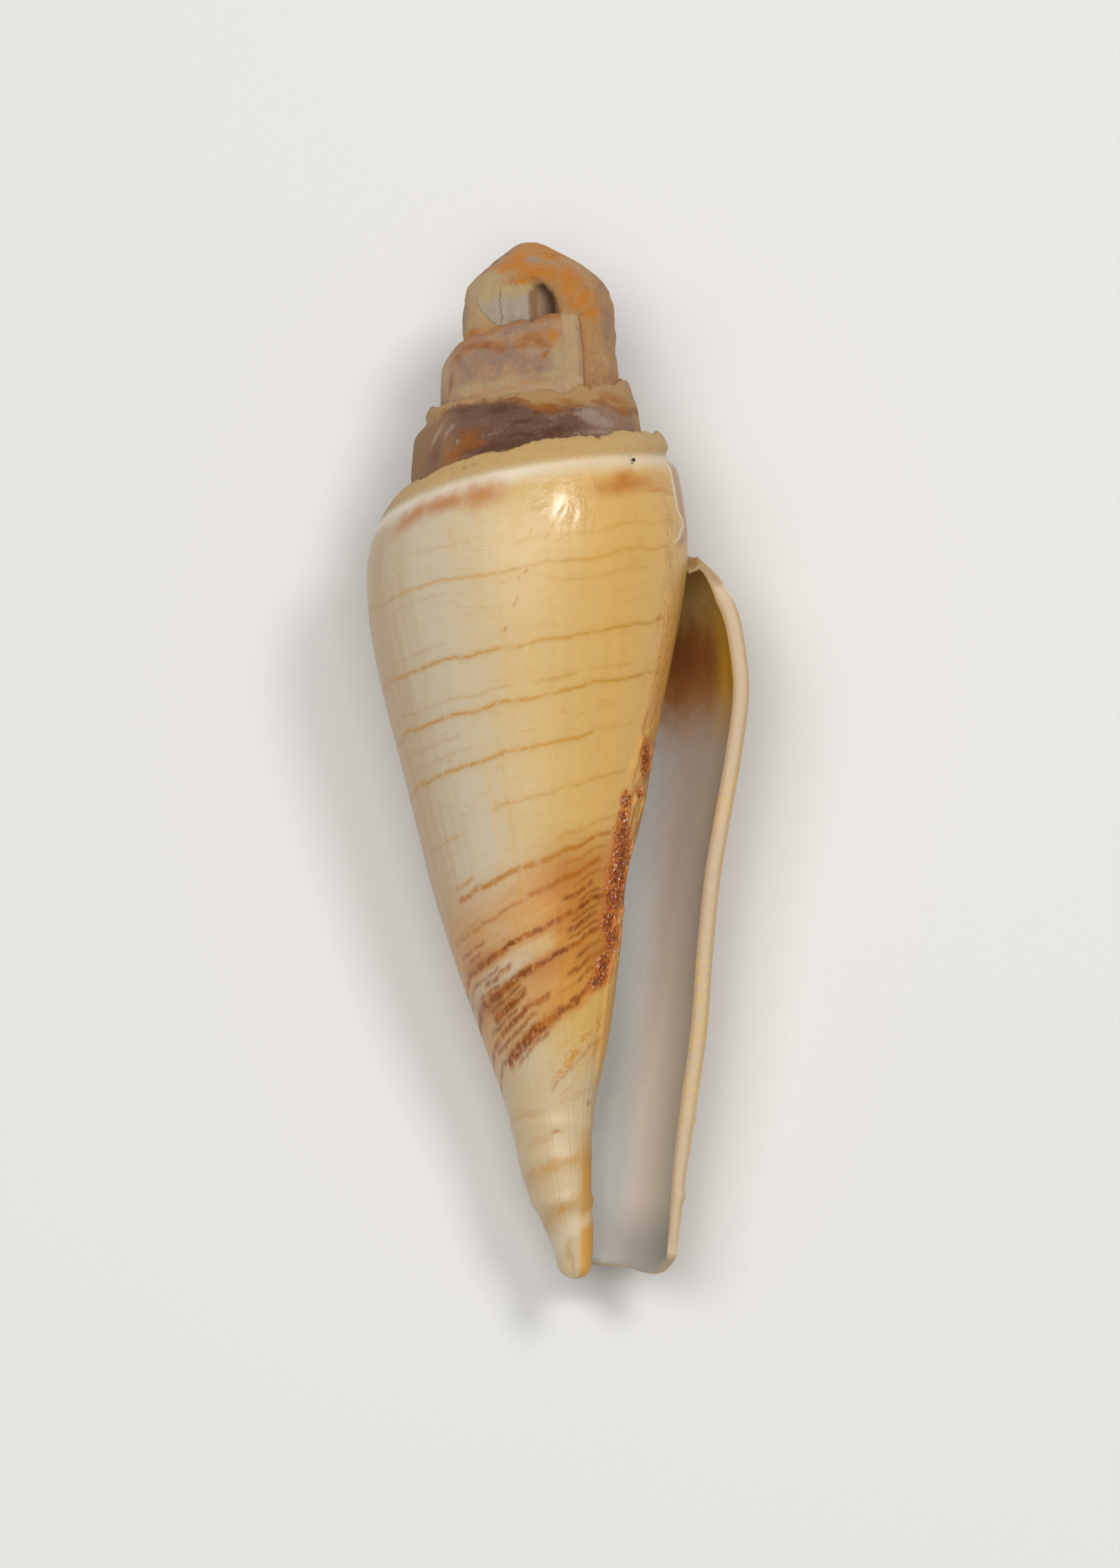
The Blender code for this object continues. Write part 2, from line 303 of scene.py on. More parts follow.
@dataclass(frozen=True)
class Collars:
    """The raised, broken edge of each whorl, and the ledge behind it."""

    ledge: tuple[float, ...] = (0.0, 0.22, 0.45, 0.65, 0.82, 0.94)
    channel: float = 0.16
    crack: tuple[float, float, float] = (-630, 16.0, 0.5)
    rise: tuple[float, float] = (0.25, 0.86)
    edge_round: float = 0.14
    tooth: float = 0.18
    chips: float = 0.09
    wave: float = 0.10
    notches: tuple[tuple[float, float, float], ...] = (
        (-653, 4.0, 0.22), (-668, 2.2, 0.16), (-288, 2.0, 0.10), (-209, 1.5, 0.16), (-200, 2.4, 0.28),
        (-195, 1.5, -0.12), (-191, 1.8, 0.14), (-301, 1.6, 0.22), (-352, 4.0, 0.20),
    )
    field: Wander = Wander(11)

    def jag(self, angle: Array) -> Array:
        """How far the edge is broken down: slow waves, small teeth that only cut, chips and a few notches.

        Args:
            angle: Growth angles.

        Returns:
            How far down the edge is at each of them.
        """
        turn = np.radians(angle)
        waves = self.wave * (np.sin(9.3 * turn) + 0.8 * np.sin(17.7 * turn + 1.0))
        teeth = self.tooth * np.clip(self.field.rough(angle / 4.5, 0.5, 2) - 0.25, 0, 1)
        teeth = teeth + self.chips * self.field.at(angle / 1.7, 7.5)
        cuts = sum(depth * bump(angle, place, width) for place, width, depth in self.notches)
        return waves + teeth + cuts

    def ledge_height(self, angle: Array, share: Array, top: Array, crest: Array) -> Array:
        """Height along the ledge: a channel by the suture (a sine), a rise in an S, and a rounded edge.

        Args:
            angle: Growth angles, one column.
            share: How far out along the ledge, from 0 at the suture to 1 at its edge.
            top: Height of the suture.
            crest: Height of the broken edge.

        Returns:
            A height for each growth angle and share.
        """
        place, width, depth = self.crack
        channel = (self.channel + depth * bump(angle, place, width)) * np.sin(math.pi * share) * (1 - share)
        rise = (top - crest) * ramp(*self.rise, share)
        edge = self.edge_round * ramp(self.rise[1], 1.0, share)
        return top + channel - rise + edge


@dataclass(frozen=True)
class Grain:
    """Fine relief: growth lines on every whorl, rough wear on the cap, ribs by the narrow end."""

    growth_line: float = 0.012
    wear: float = 0.07
    cap_dents: float = 0.10
    spire_wear: float = 0.05
    spire_ends: tuple[float, float] = (13, 17)
    ribs: tuple[tuple[float, float, float], ...] = (
        (59.7, 0.35, 0.10), (61.9, 0.30, 0.05), (64.9, 0.35, 0.16), (66.6, 0.30, 0.04),
    )
    field: Wander = Wander(5)
    lines: Wander = Wander(6)

    def on_whorls(self, angle: Array, height: Array) -> Array:
        """Growth lines that run along the axis, swirls of wear, and ribs round the anterior end.

        Args:
            angle: Growth angles, one column.
            height: Heights, one row for each growth angle.

        Returns:
            What the relief adds to the radius.
        """
        lines = self.growth_line * self.lines.rough(angle / 2.2, height / 14, 2)
        wear = self.spire_wear * self.field.rough(angle / 14, height / 2.2, 4)
        wear = wear * (1 - ramp(*self.spire_ends, height))
        ribs = sum(size * bump(height, place, width) for place, width, size in self.ribs)
        return lines + wear + ribs

    def on_cap(self, direction: Array, height: Array) -> Array:
        """Dents and wear on the cap, which fade at the apex.

        Args:
            direction: Directions of the points.
            height: Their heights.

        Returns:
            What the relief adds to the radius.
        """
        dents = self.cap_dents * self.field.at(direction / 38 + 20, height / 1.3)
        wear = self.wear * self.field.rough(direction / 12, height / 0.6, 3)
        return (dents + wear) * ramp(0.2, 1.6, height)


@dataclass(frozen=True)
class Callus:
    """The thickened inner lip: a glossy strip along the aperture, crusted and pitted lower down."""

    path: Stations = Stations(
        ((24, 66.0), (30, 65.0), (35, 62.0), (38, 58.0), (42, 56.0), (46, 56.0), (52, 56.0), (58, 60.0))
    )
    half_width: Stations = Stations(((24, 9.0), (30, 12.0), (36, 14.0), (40, 13.0), (46, 10.0), (54, 12.0)))
    thickness: float = 0.10
    crust: float = 0.16
    reach: tuple[float, float, float] = (25, 57, 3)
    crust_reach: tuple[float, float, float] = (33, 50, 3)
    begins: tuple[float, float] = (-372, -366)
    relief_ends: tuple[float, float] = (-290, -284)
    colour_ends: tuple[float, float] = (-262, -250)
    field: Wander = Wander(21)

    def beside_aperture(self, angle: Array, ends: tuple[float, float]) -> Array:
        """1 on the turn that holds the strip, up to where it ends in an S between two growth angles."""
        return ramp(*self.begins, angle) * (1 - ramp(*ends, angle))

    def mask(self, direction: Array, height: Array) -> Array:
        """1 on the strip, and 0 off it."""
        across = np.abs(direction - self.path.at(height)) / self.half_width.at(height)
        return (1 - ramp(0.7, 1.2, across)) * between(height, *self.reach)

    def crusted(self, height: Array) -> Array:
        """How crusted the strip is: most where the edge of the body kinks."""
        return between(height, *self.crust_reach)

    def relief(self, direction: Array, height: Array) -> Array:
        """The strip stands proud, and lumps and pits roughen it where it is crusted."""
        lumps = self.field.rough(direction / 4.0, height / 0.8, 2)
        return self.mask(direction, height) * (self.thickness + self.crust * self.crusted(height) * lumps)


@dataclass(frozen=True)
class Dents:
    """Swellings and hollows of the worn spire, each a bell over an ellipse on the side that faces the viewer.

    A row is the place across the axis, the height, the two half sizes, the tilt, and how far it swells.
    """

    rows: tuple[tuple[float, ...], ...] = (
        (-3.21, 8.79, 1.49, 1.22, 7, -0.13), (-6.04, 8.34, 0.30, 1.62, 3, 0.10),
        (-1.46, 7.06, 2.43, 0.16, 7, 0.05), (0.06, 8.10, 0.34, 0.30, -3, 0.07),
        (2.19, 7.95, 0.14, 0.95, -15, 0.05), (-0.45, 3.05, 0.41, 0.24, -3, 0.07),
        (-1.58, 3.31, 0.81, 0.19, -3, 0.05), (0.26, 1.53, 0.46, 0.24, -3, 0.06),
        (4.53, 3.65, 0.12, 0.68, -8, -0.05), (-2.94, 1.92, 0.54, 0.24, 32, -0.08),
        (1.15, 2.44, 0.68, 0.11, -8, -0.05), (-4.54, 13.79, 0.81, 0.41, 47, 0.10),
        (5.14, 13.95, 0.81, 0.16, -8, -0.05), (6.35, 15.83, 0.16, 0.24, -33, -0.30),
        (1.01, 19.72, 1.02, 0.09, 61, -0.03), (2.20, 19.75, 0.89, 0.09, 65, -0.03),
        (1.51, 18.80, 0.68, 0.09, 57, -0.03), (1.60, 19.20, 1.00, 0.30, 62, 0.03),
    )
    front_from: float = 0.05

    def swell(self, angle: Array, height: Array, radius: Array, lip_direction: float) -> Array:
        """Sum of the bells, each e to the -d2, where d is 1 on its ellipse's outline; none on the back.

        Args:
            angle: Growth angles, one column.
            height: Heights.
            radius: Radii before the swelling.
            lip_direction: Direction of growth angle 0.

        Returns:
            What the bells add to the radius.
        """
        turn = np.radians(lip_direction - angle)
        x, front = radius * np.sin(turn), np.cos(turn) > self.front_from
        total = np.zeros(np.broadcast_shapes(x.shape, height.shape))
        for *ellipse, rise in self.rows:
            along, beside = in_ellipse(x, height, tuple(ellipse))
            total = total + rise * np.exp(-(along**2) - beside**2)
        return total * front


@dataclass
class ShellSurface:
    """The fine outer and inner faces of the shell, as radii over growth angle and height."""

    form: Coil = field(default_factory=Coil)
    window: CapWindow = field(default_factory=CapWindow)
    collars: Collars = field(default_factory=Collars)
    grain: Grain = field(default_factory=Grain)
    callus: Callus = field(default_factory=Callus)
    dents: Dents = field(default_factory=Dents)
    plate_gap: tuple[float, float, float] = (-1031.5, 1.2, 0.28)
    plate_gap_deepens: tuple[float, float] = (5.4, 6.2)

    def cap_radius(self, angle: Array, height: Array) -> Array:
        """Radius of the cap: its dome times its side, with wear, the window and the crack by the plate.

        Args:
            angle: Growth angles, one column.
            height: Heights, one row for each growth angle.

        Returns:
            A radius for each height.
        """
        direction = self.form.direction(angle)
        side = self.form.cap_side + self.form.cap_lean * np.sin(np.radians(direction))
        place, width, depth = self.plate_gap
        crack = depth * bump(angle, place, width) * ramp(*self.plate_gap_deepens, height)
        base = side * self.form.cap_dome.at(height) + self.grain.on_cap(direction, height)
        return base - self.window.recess(direction, height) - crack

    def outer_radius(self, angle: Array, height: Array) -> Array:
        """Radius of the outer face with all its relief: the cap first, and whorls after it.

        Args:
            angle: Growth angles, one column.
            height: Heights, one row for each growth angle.

        Returns:
            A radius for each height.
        """
        whorl = self.form.whorl_radius(angle, height) + self.grain.on_whorls(angle, height)
        on_body = self.callus.beside_aperture(angle, self.callus.relief_ends)
        whorl = whorl + on_body * self.callus.relief(self.form.direction(angle), height)
        radius = np.where(angle < self.form.rim_start, self.cap_radius(angle, height), whorl)
        return radius + self.dents.swell(angle, height, radius, self.form.lip_direction)

    def jagged_crest(self, angle: Array) -> Array:
        """Height of the collar's edge, with its waves, teeth and notches."""
        return self.form.crest.at(angle) + self.collars.jag(angle)


@dataclass(frozen=True)
class Patches:
    """Blots of one colour on the side that faces the viewer, each a soft ellipse, above a lowest depth.

    A row is the ellipse's place across the axis, its height, its two half sizes, and its tilt in degrees.
    """

    rows: tuple[tuple[float, float, float, float, float], ...]
    lowest: float = 0.8

    def at(self, points: Array) -> Array:
        """How far inside the nearest ellipse each point is.

        The distance d from an ellipse's middle is 1 on its outline. The value is 1 - d/2, and no less than 0.

        Args:
            points: Points of the standing shell.

        Returns:
            1 at a middle, 0.5 on an outline, 0 from twice its size outward.
        """
        x, height = points[..., 0], -points[..., 1]
        best = np.zeros(x.shape)
        for row in self.rows:
            best = np.maximum(best, 1 - np.hypot(*in_ellipse(x, height, row)) / 2)
        return best * (points[..., 2] > self.lowest)


@dataclass(frozen=True)
class Markings:
    """Where the shell's colours lie: blots by name, and coordinates that the lines and streaks follow."""

    orange: Patches = Patches(
        (
            (0.95, 0.47, 1.76, 0.30, -18), (-0.39, 1.37, 0.81, 0.61, 7), (-0.97, 1.97, 1.22, 0.34, 2),
            (0.78, 2.53, 1.76, 0.54, -8), (2.52, 2.87, 1.08, 0.61, -28), (-0.55, 3.14, 0.54, 0.24, -3),
            (1.38, 1.32, 0.81, 0.30, -23), (-4.25, 6.23, 0.81, 0.19, 2), (3.38, 4.42, 0.81, 0.68, -3),
            (2.76, 3.77, 0.68, 0.54, -3), (3.98, 5.42, 0.47, 0.54, -3), (1.40, 7.10, 0.34, 0.49, -3),
        )
    )
    lilac: Patches = Patches(
        (
            (-1.68, 0.90, 0.68, 0.19, 22), (-2.26, 1.37, 0.47, 0.16, 32), (-2.94, 1.92, 0.41, 0.16, 37),
            (5.07, 6.07, 0.30, 1.49, -3), (3.25, 3.26, 0.54, 0.19, -33), (4.60, 4.05, 0.22, 0.81, -11),
            (-4.47, 4.76, 0.22, 0.81, -3), (-3.75, 8.45, 1.21, 1.01, 12), (-2.41, 8.19, 1.15, 0.69, -3),
            (-4.36, 9.20, 1.01, 0.68, -3), (-1.05, 8.60, 0.91, 0.64, -3), (-0.04, 8.83, 0.95, 0.54, -3),
        )
    )
    cream: Patches = Patches(
        (
            (-2.40, 2.87, 0.81, 0.61, 7), (-3.83, 3.17, 0.54, 0.81, -3), (-1.03, 3.56, 0.81, 0.35, -3),
            (-0.10, 3.45, 0.38, 0.30, -3), (-3.01, 3.95, 0.47, 0.54, -3), (1.79, 8.61, 0.57, 1.08, -3),
            (1.38, 9.62, 0.81, 0.35, 2), (-6.05, 8.46, 0.30, 1.49, 3), (-4.40, 10.23, 1.22, 0.49, 7),
            (-2.16, 10.10, 1.35, 0.35, 9),
        )
    )
    rust: Patches = Patches(
        (
            (-4.28, 7.39, 0.68, 0.27, 12), (-3.15, 7.37, 1.08, 0.24, -3), (-2.33, 7.65, 0.54, 0.27, -13),
            (-5.05, 7.93, 0.49, 0.19, 57), (-0.17, 7.14, 0.87, 0.30, 17), (0.47, 7.36, 0.59, 0.41, -23),
            (-0.65, 7.59, 0.54, 0.22, 7), (0.79, 8.31, 0.27, 0.16, 57), (-5.60, 9.62, 0.68, 0.09, 82),
            (5.37, 11.42, 0.81, 0.35, -18), (5.90, 11.97, 0.34, 0.41, -3), (0.90, 12.07, 0.81, 0.27, -13),
            (2.12, 11.61, 0.54, 0.19, -3), (-4.28, 14.29, 0.68, 0.19, 9), (-4.63, 13.85, 0.71, 0.55, 27),
            (-5.60, 14.75, 0.60, 0.35, 37), (-8.45, 18.80, 1.40, 0.45, 35), (-6.35, 18.22, 1.80, 0.52, 13),
            (-3.93, 17.86, 1.50, 0.72, 5), (5.61, 17.52, 1.87, 0.52, 9), (5.64, 17.10, 0.80, 0.50, 12),
            (7.58, 17.75, 1.30, 0.15, -3),
        )
    )
    umber: Patches = Patches(
        (
            (1.67, 1.20, 0.19, 0.11, -33), (-3.23, 1.99, 0.14, 0.14, -3), (-2.26, 1.37, 0.16, 0.08, 27),
            (-1.59, 0.79, 0.16, 0.08, 17), (-2.35, 14.46, 2.03, 0.32, 7), (-2.51, 11.95, 0.68, 0.35, 7),
            (-0.89, 12.96, 0.95, 0.22, 2), (-4.58, 14.63, 0.68, 0.14, 11),
        )
    )
    chalk: Patches = Patches(
        (
            (0.26, 1.53, 0.46, 0.24, -3), (3.65, 12.49, 0.62, 0.49, -3), (4.36, 13.03, 0.81, 0.30, -3),
            (4.14, 13.70, 0.95, 0.14, 0), (-6.67, 13.21, 0.88, 0.11, 59), (-5.91, 13.14, 0.62, 0.08, 59),
            (-5.62, 12.80, 0.16, 0.16, -3), (-5.29, 13.89, 0.16, 0.16, -3), (0.06, 8.10, 0.30, 0.24, -3),
        )
    )
    mauve: Patches = Patches(((-6.9, 14.6, 1.1, 0.4, 67),))
    scratch: Patches = Patches(
        (
            (-0.58, 20.49, 0.38, 0.06, 57), (0.31, 21.08, 0.41, 0.07, 62), (1.01, 19.72, 1.02, 0.07, 61),
            (2.20, 19.75, 0.89, 0.07, 65), (1.51, 18.80, 0.68, 0.06, 57), (2.27, 20.12, 0.20, 0.10, 57),
            (-2.92, 27.10, 0.24, 0.07, 52), (-2.66, 26.86, 0.18, 0.06, 20), (-2.09, 25.34, 0.10, 0.10, -3),
            (-1.44, 23.06, 0.70, 0.08, 2), (-1.10, 23.20, 0.50, 0.07, -12), (-1.52, 23.42, 0.08, 0.40, -5),
            (-1.72, 24.32, 0.05, 0.85, -9), (7.61, 26.23, 0.27, 0.10, 27),
        )
    )
    haze: Patches = Patches(
        (
            (-5.27, 48.64, 1.38, 0.46, 25), (0.99, 43.33, 2.30, 1.84, 27), (1.34, 45.62, 1.84, 1.38, 29),
            (-0.95, 49.19, 1.38, 0.83, 32), (-4.48, 51.44, 1.38, 0.74, 35), (-2.09, 53.70, 1.57, 0.46, 37),
            (2.04, 48.38, 1.20, 0.92, 42),
        )
    )
    crust: Patches = Patches(
        (
            (6.26, 35.57, 0.23, 0.92, -5), (5.78, 37.85, 0.18, 0.23, -3), (4.82, 38.35, 0.28, 0.46, -10),
            (4.59, 39.45, 0.28, 0.46, -10), (4.44, 40.63, 0.41, 0.92, -11), (4.29, 41.99, 0.46, 1.11, -11),
            (4.04, 43.34, 0.55, 0.92, -12), (3.70, 44.72, 0.55, 0.83, -12), (3.25, 46.28, 0.41, 0.83, -12),
            (3.38, 47.47, 0.37, 0.83, -12), (2.74, 49.30, 0.37, 0.83, -15), (2.42, 50.21, 0.74, 0.37, 42),
        )
    )
    fleck: Patches = Patches(
        (
            (-0.21, 58.93, 0.26, 0.07, 7), (0.02, 59.49, 0.22, 0.06, 7), (-0.92, 60.19, 0.34, 0.03, 7),
            (-0.20, 59.95, 0.30, 0.05, 27), (1.36, 58.35, 0.24, 0.12, 60), (-0.59, 62.97, 0.14, 0.10, -3),
            (-7.80, 15.16, 0.18, 0.18, -3), (-4.89, 15.92, 0.23, 0.14, -3), (-4.23, 15.70, 0.23, 0.14, -3),
        )
    )
    # Painted shadow in two small holes in the shoulder, on points that stand forward only.
    pit_shadow: Patches = Patches(((6.35, 15.83, 0.18, 0.28, -33), (7.38, 13.78, 0.28, 0.14, -23)), 5.7)
    gloss: Patches = Patches(((1.6, 18.9, 2.5, 1.9, 5),))
    pitch: Stations = Stations(
        (
            (0, 3.9), (20, 3.9), (28, 4.4), (35, 5.4), (40, 6.8), (44, 8.2), (48, 9.0), (54, 9.6),
            (58, 10.7), (70, 11.5), (90, 11.5),
        )
    )
    front: float = -274.0
    spiral_range: tuple[float, float] = (-20.0, 110.0)
    spiral_step: float = 0.1

    def spiral(self, angle: Array, height: Array) -> Array:
        """Height at which a colour line through this place crosses the front.

        A line falls by the pitch each half turn, and the pitch grows down the shell. So half turns are
        counted along the axis, as the integral of one over the pitch, and are read back as a height.

        Args:
            angle: Growth angles.
            height: Heights.

        Returns:
            A height for each place.
        """
        low, high = self.spiral_range
        heights = np.linspace(low, high, round((high - low) / self.spiral_step) + 1)
        half_turns = np.cumsum(self.spiral_step / self.pitch.at(heights))
        here = np.interp(height, heights, half_turns)
        return np.interp(here - (angle - self.front) / (FULL_TURN / 2), half_turns, heights)

    def values(self, corners: Array, surface: ShellSurface) -> dict[str, Array]:
        """Every named value of the finish, at corners of a point, growth, height, depth below and side.

        Args:
            corners: Rows of seven numbers.
            surface: The surface that the corners lie on, for the callus.

        Returns:
            A name and a value for each corner.
        """
        points, growth, height, below, inner = corners[:, :3], *corners[:, 3:].T
        direction = self.front - growth
        named = {title: kind.at(points) for title, kind in vars(self).items() if isinstance(kind, Patches)}
        callus = surface.callus
        on_body = callus.beside_aperture(growth, callus.colour_ends) * (1 - inner)
        named["callus"] = callus.mask(direction, height) * on_body
        named["spiral"] = self.spiral(growth, height)
        named.update(direction=direction, height=height, below=below, inner=inner)
        return named


def with_values(points: Array, *values: Array) -> Array:
    """Points followed by values, one more number each."""
    shape = points.shape[:-1]
    return np.concatenate([points, *(np.broadcast_to(v, shape)[..., None] for v in values)], axis=-1)


def tiles(grid: Array) -> Array:
    """Two triangles for every cell of a grid of corners.

    Args:
        grid: Columns by rows of corners, each a point and its values.

    Returns:
        Triangles by three corners.
    """
    a, b, c, d = grid[:-1, :-1], grid[:-1, 1:], grid[1:, 1:], grid[1:, :-1]
    pairs = [np.stack(corners, axis=2) for corners in ((a, b, c), (a, c, d))]
    return np.concatenate([pair.reshape(-1, 3, grid.shape[-1]) for pair in pairs])


def bridge(first: Array, second: Array) -> Array:
    """Triangles between two rows of corners of unlike lengths.

    Both rows run down the shell. Their steps are taken in order of height, and each step adds one
    triangle, whose other two corners are where the rows had got to.

    Args:
        first: Corners of one row.
        second: Corners of the other row.

    Returns:
        Triangles by three corners.
    """
    depth = -np.concatenate([first[1:, 1], second[1:, 1]])
    is_first = np.arange(len(depth)) < len(first) - 1
    order = np.argsort(depth, kind="stable")
    takes_first = is_first[order]
    at_first = np.cumsum(takes_first) - takes_first
    at_second = np.cumsum(~takes_first) - ~takes_first
    ahead = np.where(takes_first[:, None], first[at_first + takes_first], second[at_second + ~takes_first])
    return np.stack([first[at_first], second[at_second], ahead], axis=1)


def rolled_edge(first: Array, second: Array, outward: Array, steps: int = 6, share: float = 0.32) -> Array:
    """Grid between two rows of corners that bulges outward as half an ellipse.

    Args:
        first: Corners along one side of the edge.
        second: Corners along its other side.
        outward: Unit vectors that the edge bulges along, one for each corner.
        steps: Cells across the edge.
        share: Height of the bulge as a share of the edge's width.

    Returns:
        Steps + 1 rows of corners.
    """
    turn = np.linspace(0, math.pi, steps + 1)[:, None, None]
    across = (1 - np.cos(turn)) / 2
    grid = first + (second - first) * across
    width = np.linalg.norm(second[:, :3] - first[:, :3], axis=1, keepdims=True)
    grid[..., :3] += share * width * np.sin(turn) * outward
    grid[0], grid[-1] = first, second
    return grid


@dataclass
class ShellMesh:
    """Winds the surface into one closed mesh and lays it where the frame's solid lies."""

    surface: ShellSurface = field(default_factory=ShellSurface)
    markings: Markings = field(default_factory=Markings)
    turns_before_last: int = 4
    start: float = -1728.0
    steps: tuple[tuple[float, int], ...] = ((-360, 58), (-288, 91), (-174, 53), (-16, 13), (0, 0))
    wall_rows: int = 38
    wall_spread: float = 1.15
    body_rows: int = 130
    cavity_start: float = -126.0
    wall: float = 1.1
    wall_at_end: float = 0.65
    wall_thins_from: float = 58.0
    narrowest_wall: float = 0.45
    wall_share_of_gap: float = 0.35
    least_gap: float = 0.2
    ceiling_wall: float = 0.4
    slope_step: float = 0.1
    tip_rings: int = 10
    lip_corner: float = 3.0
    lip_bulge: float = 0.15
    rest_pitch: float = 5.0
    apex_place: tuple[float, float, float] = (-0.753, 34.917, 14.654)

    def __post_init__(self) -> None:
        """Works out the growth angles of the columns, and where the parts of the grid begin."""
        spans = zip(self.steps[:-1], self.steps[1:])
        parts = [np.linspace(low, high, count, endpoint=False) for (low, count), (high, _) in spans]
        turn = np.concatenate(parts)
        self.per_turn = len(turn)
        whole = [turn - FULL_TURN * k for k in range(self.turns_before_last, -1, -1)]
        angles = np.concatenate([*whole, [0.0]])
        self.angle = angles[angles > self.start - 1e-6][:, None]
        self.last = len(self.angle) - 1
        self.whorl = self.last - self.per_turn
        self.mouth = int(np.argmin(np.abs(self.angle[:, 0] - self.cavity_start)))
        self.pillar = slice(self.mouth - self.per_turn, self.whorl + 1)
        self.ledge_rows = len(self.surface.collars.ledge)
        self.band_rows = self.ledge_rows + self.wall_rows

    def outer_grid(self) -> tuple[Array, Array]:
        """Heights and radii of the outer face: ledge rows, rows down the whorl's wall, then body rows.

        Returns:
            Heights and radii, a row of them for each growth angle.
        """
        form, collars, angle = self.surface.form, self.surface.collars, self.angle
        on_cap = angle < form.rim_start
        top, bottom = form.suture(angle), form.suture(angle + FULL_TURN)
        share = np.array(collars.ledge)
        crest = self.surface.jagged_crest(angle)
        edge = crest + collars.edge_round
        start = np.where(on_cap, top, edge)
        wall = start + (bottom - start) * (np.arange(self.wall_rows + 1) / self.wall_rows) ** self.wall_spread
        end = form.anterior_edge.at(angle)
        ceiling = bottom + self.ceiling_wall
        body = ceiling + (end - ceiling) * np.arange(self.body_rows) / (self.body_rows - 1)
        ledge = np.where(on_cap, top, collars.ledge_height(angle, share, top, crest))
        heights = np.hstack([ledge, wall, body])
        radii = self.surface.outer_radius(angle, heights)
        joint = self.surface.outer_radius(angle - FULL_TURN, top)
        rim = self.surface.outer_radius(angle, edge)
        radii[:, : self.ledge_rows] = np.where(on_cap, joint, joint + (rim - joint) * share)
        return heights, radii

    def pillar_radius(self, heights: Array) -> Array:
        """Radius of the whorl that the cavity winds round, a turn before the cavity's own columns."""
        return self.surface.form.whorl_radius(self.angle[self.pillar], heights)

    def inner_grid(self, heights: Array) -> tuple[Array, Array]:
        """Heights and radii of the cavity's outer side: the outer face moved in along its normal.

        Args:
            heights: Heights of the outer face's rows.

        Returns:
            Heights and radii of the inner face.
        """
        form, angle, rows = self.surface.form, self.angle[self.mouth :], self.ledge_rows
        crest = heights[:, rows : rows + 1]
        outside = np.maximum(heights, crest)
        face = form.whorl_radius(angle, outside)
        slope = (form.whorl_radius(angle, outside + self.slope_step) - face) / self.slope_step
        lean = np.sqrt(1 + slope**2)
        thins = ramp(self.wall_thins_from, form.length, outside)
        wall = self.wall + (self.wall_at_end - self.wall) * thins
        room = np.maximum(self.narrowest_wall, self.wall_share_of_gap * (face - self.pillar_radius(outside)))
        wall = np.minimum(wall, room)
        inner = outside + wall * slope / lean
        inner[:, -1] = heights[:, -1]
        radii = np.maximum(face - wall / lean, self.pillar_radius(inner) + self.least_gap)
        share = np.arange(rows) / rows
        start = form.suture(angle) + self.ceiling_wall
        inner[:, :rows] = start + (inner[:, rows : rows + 1] - start) * share
        pillar = self.pillar_radius(start)
        radii[:, :rows] = pillar + (radii[:, rows : rows + 1] - pillar) * share
        return inner, radii

    def corners(self, angle: Array, heights: Array, radii: Array, inner: float) -> Array:
        """Points of the shell standing on its axis, with their values.

        X is the radius times the sine of the direction, Z is the radius times its cosine, and Y is minus
        the height.

        Args:
            angle: Growth angles, one column.
            heights: Heights, a row for each growth angle.
            radii: Radii, likewise.
            inner: 0 on the outer face, 1 inside.

        Returns:
            Corners of seven numbers: the point, then growth, height, depth below the crest and side.
        """
        turn = np.radians(self.surface.form.lip_direction - angle)
        points = np.stack([radii * np.sin(turn), -heights, radii * np.cos(turn)], axis=-1)
        below = heights - self.surface.form.crest.at(angle)
        return with_values(points, angle, heights, below, np.asarray(inner))

    def tip(self, loop: Array) -> Array:
        """Rings from the loop's corners to one point on the axis, along a quarter of an ellipse.

        Args:
            loop: Corners all round the anterior end.

        Returns:
            Rings of corners, the last of them at one point.
        """
        turn = np.linspace(0, math.pi / 2, self.tip_rings + 1)[:, None, None]
        rings = np.repeat(loop[None], self.tip_rings + 1, axis=0)
        rings[1:, :, [0, 2]] *= np.cos(turn[1:])
        rings[1:, :, 1:2] += (-self.surface.form.length - rings[1:, :, 1:2]) * np.sin(turn[1:])
        rings[-1, :, :3] = (0, -self.surface.form.length, 0)
        return rings

    def lip_outward(self, rows: Array) -> Array:
        """Way that the lip's edge bulges: forward along the growth, turning down at the anterior corner.

        Args:
            rows: Corners down the lip.

        Returns:
            A unit vector for each corner.
        """
        turn = math.radians(self.surface.form.lip_direction)
        forward = np.array([-math.cos(turn), 0.0, math.sin(turn)])
        down = ramp(rows[-1, 1] + self.lip_corner, rows[-1, 1], rows[:, 1])[:, None]
        way = forward * (1 - down) + np.array([0.0, -1.0, 0.0]) * down
        return way / np.linalg.norm(way, axis=1, keepdims=True)

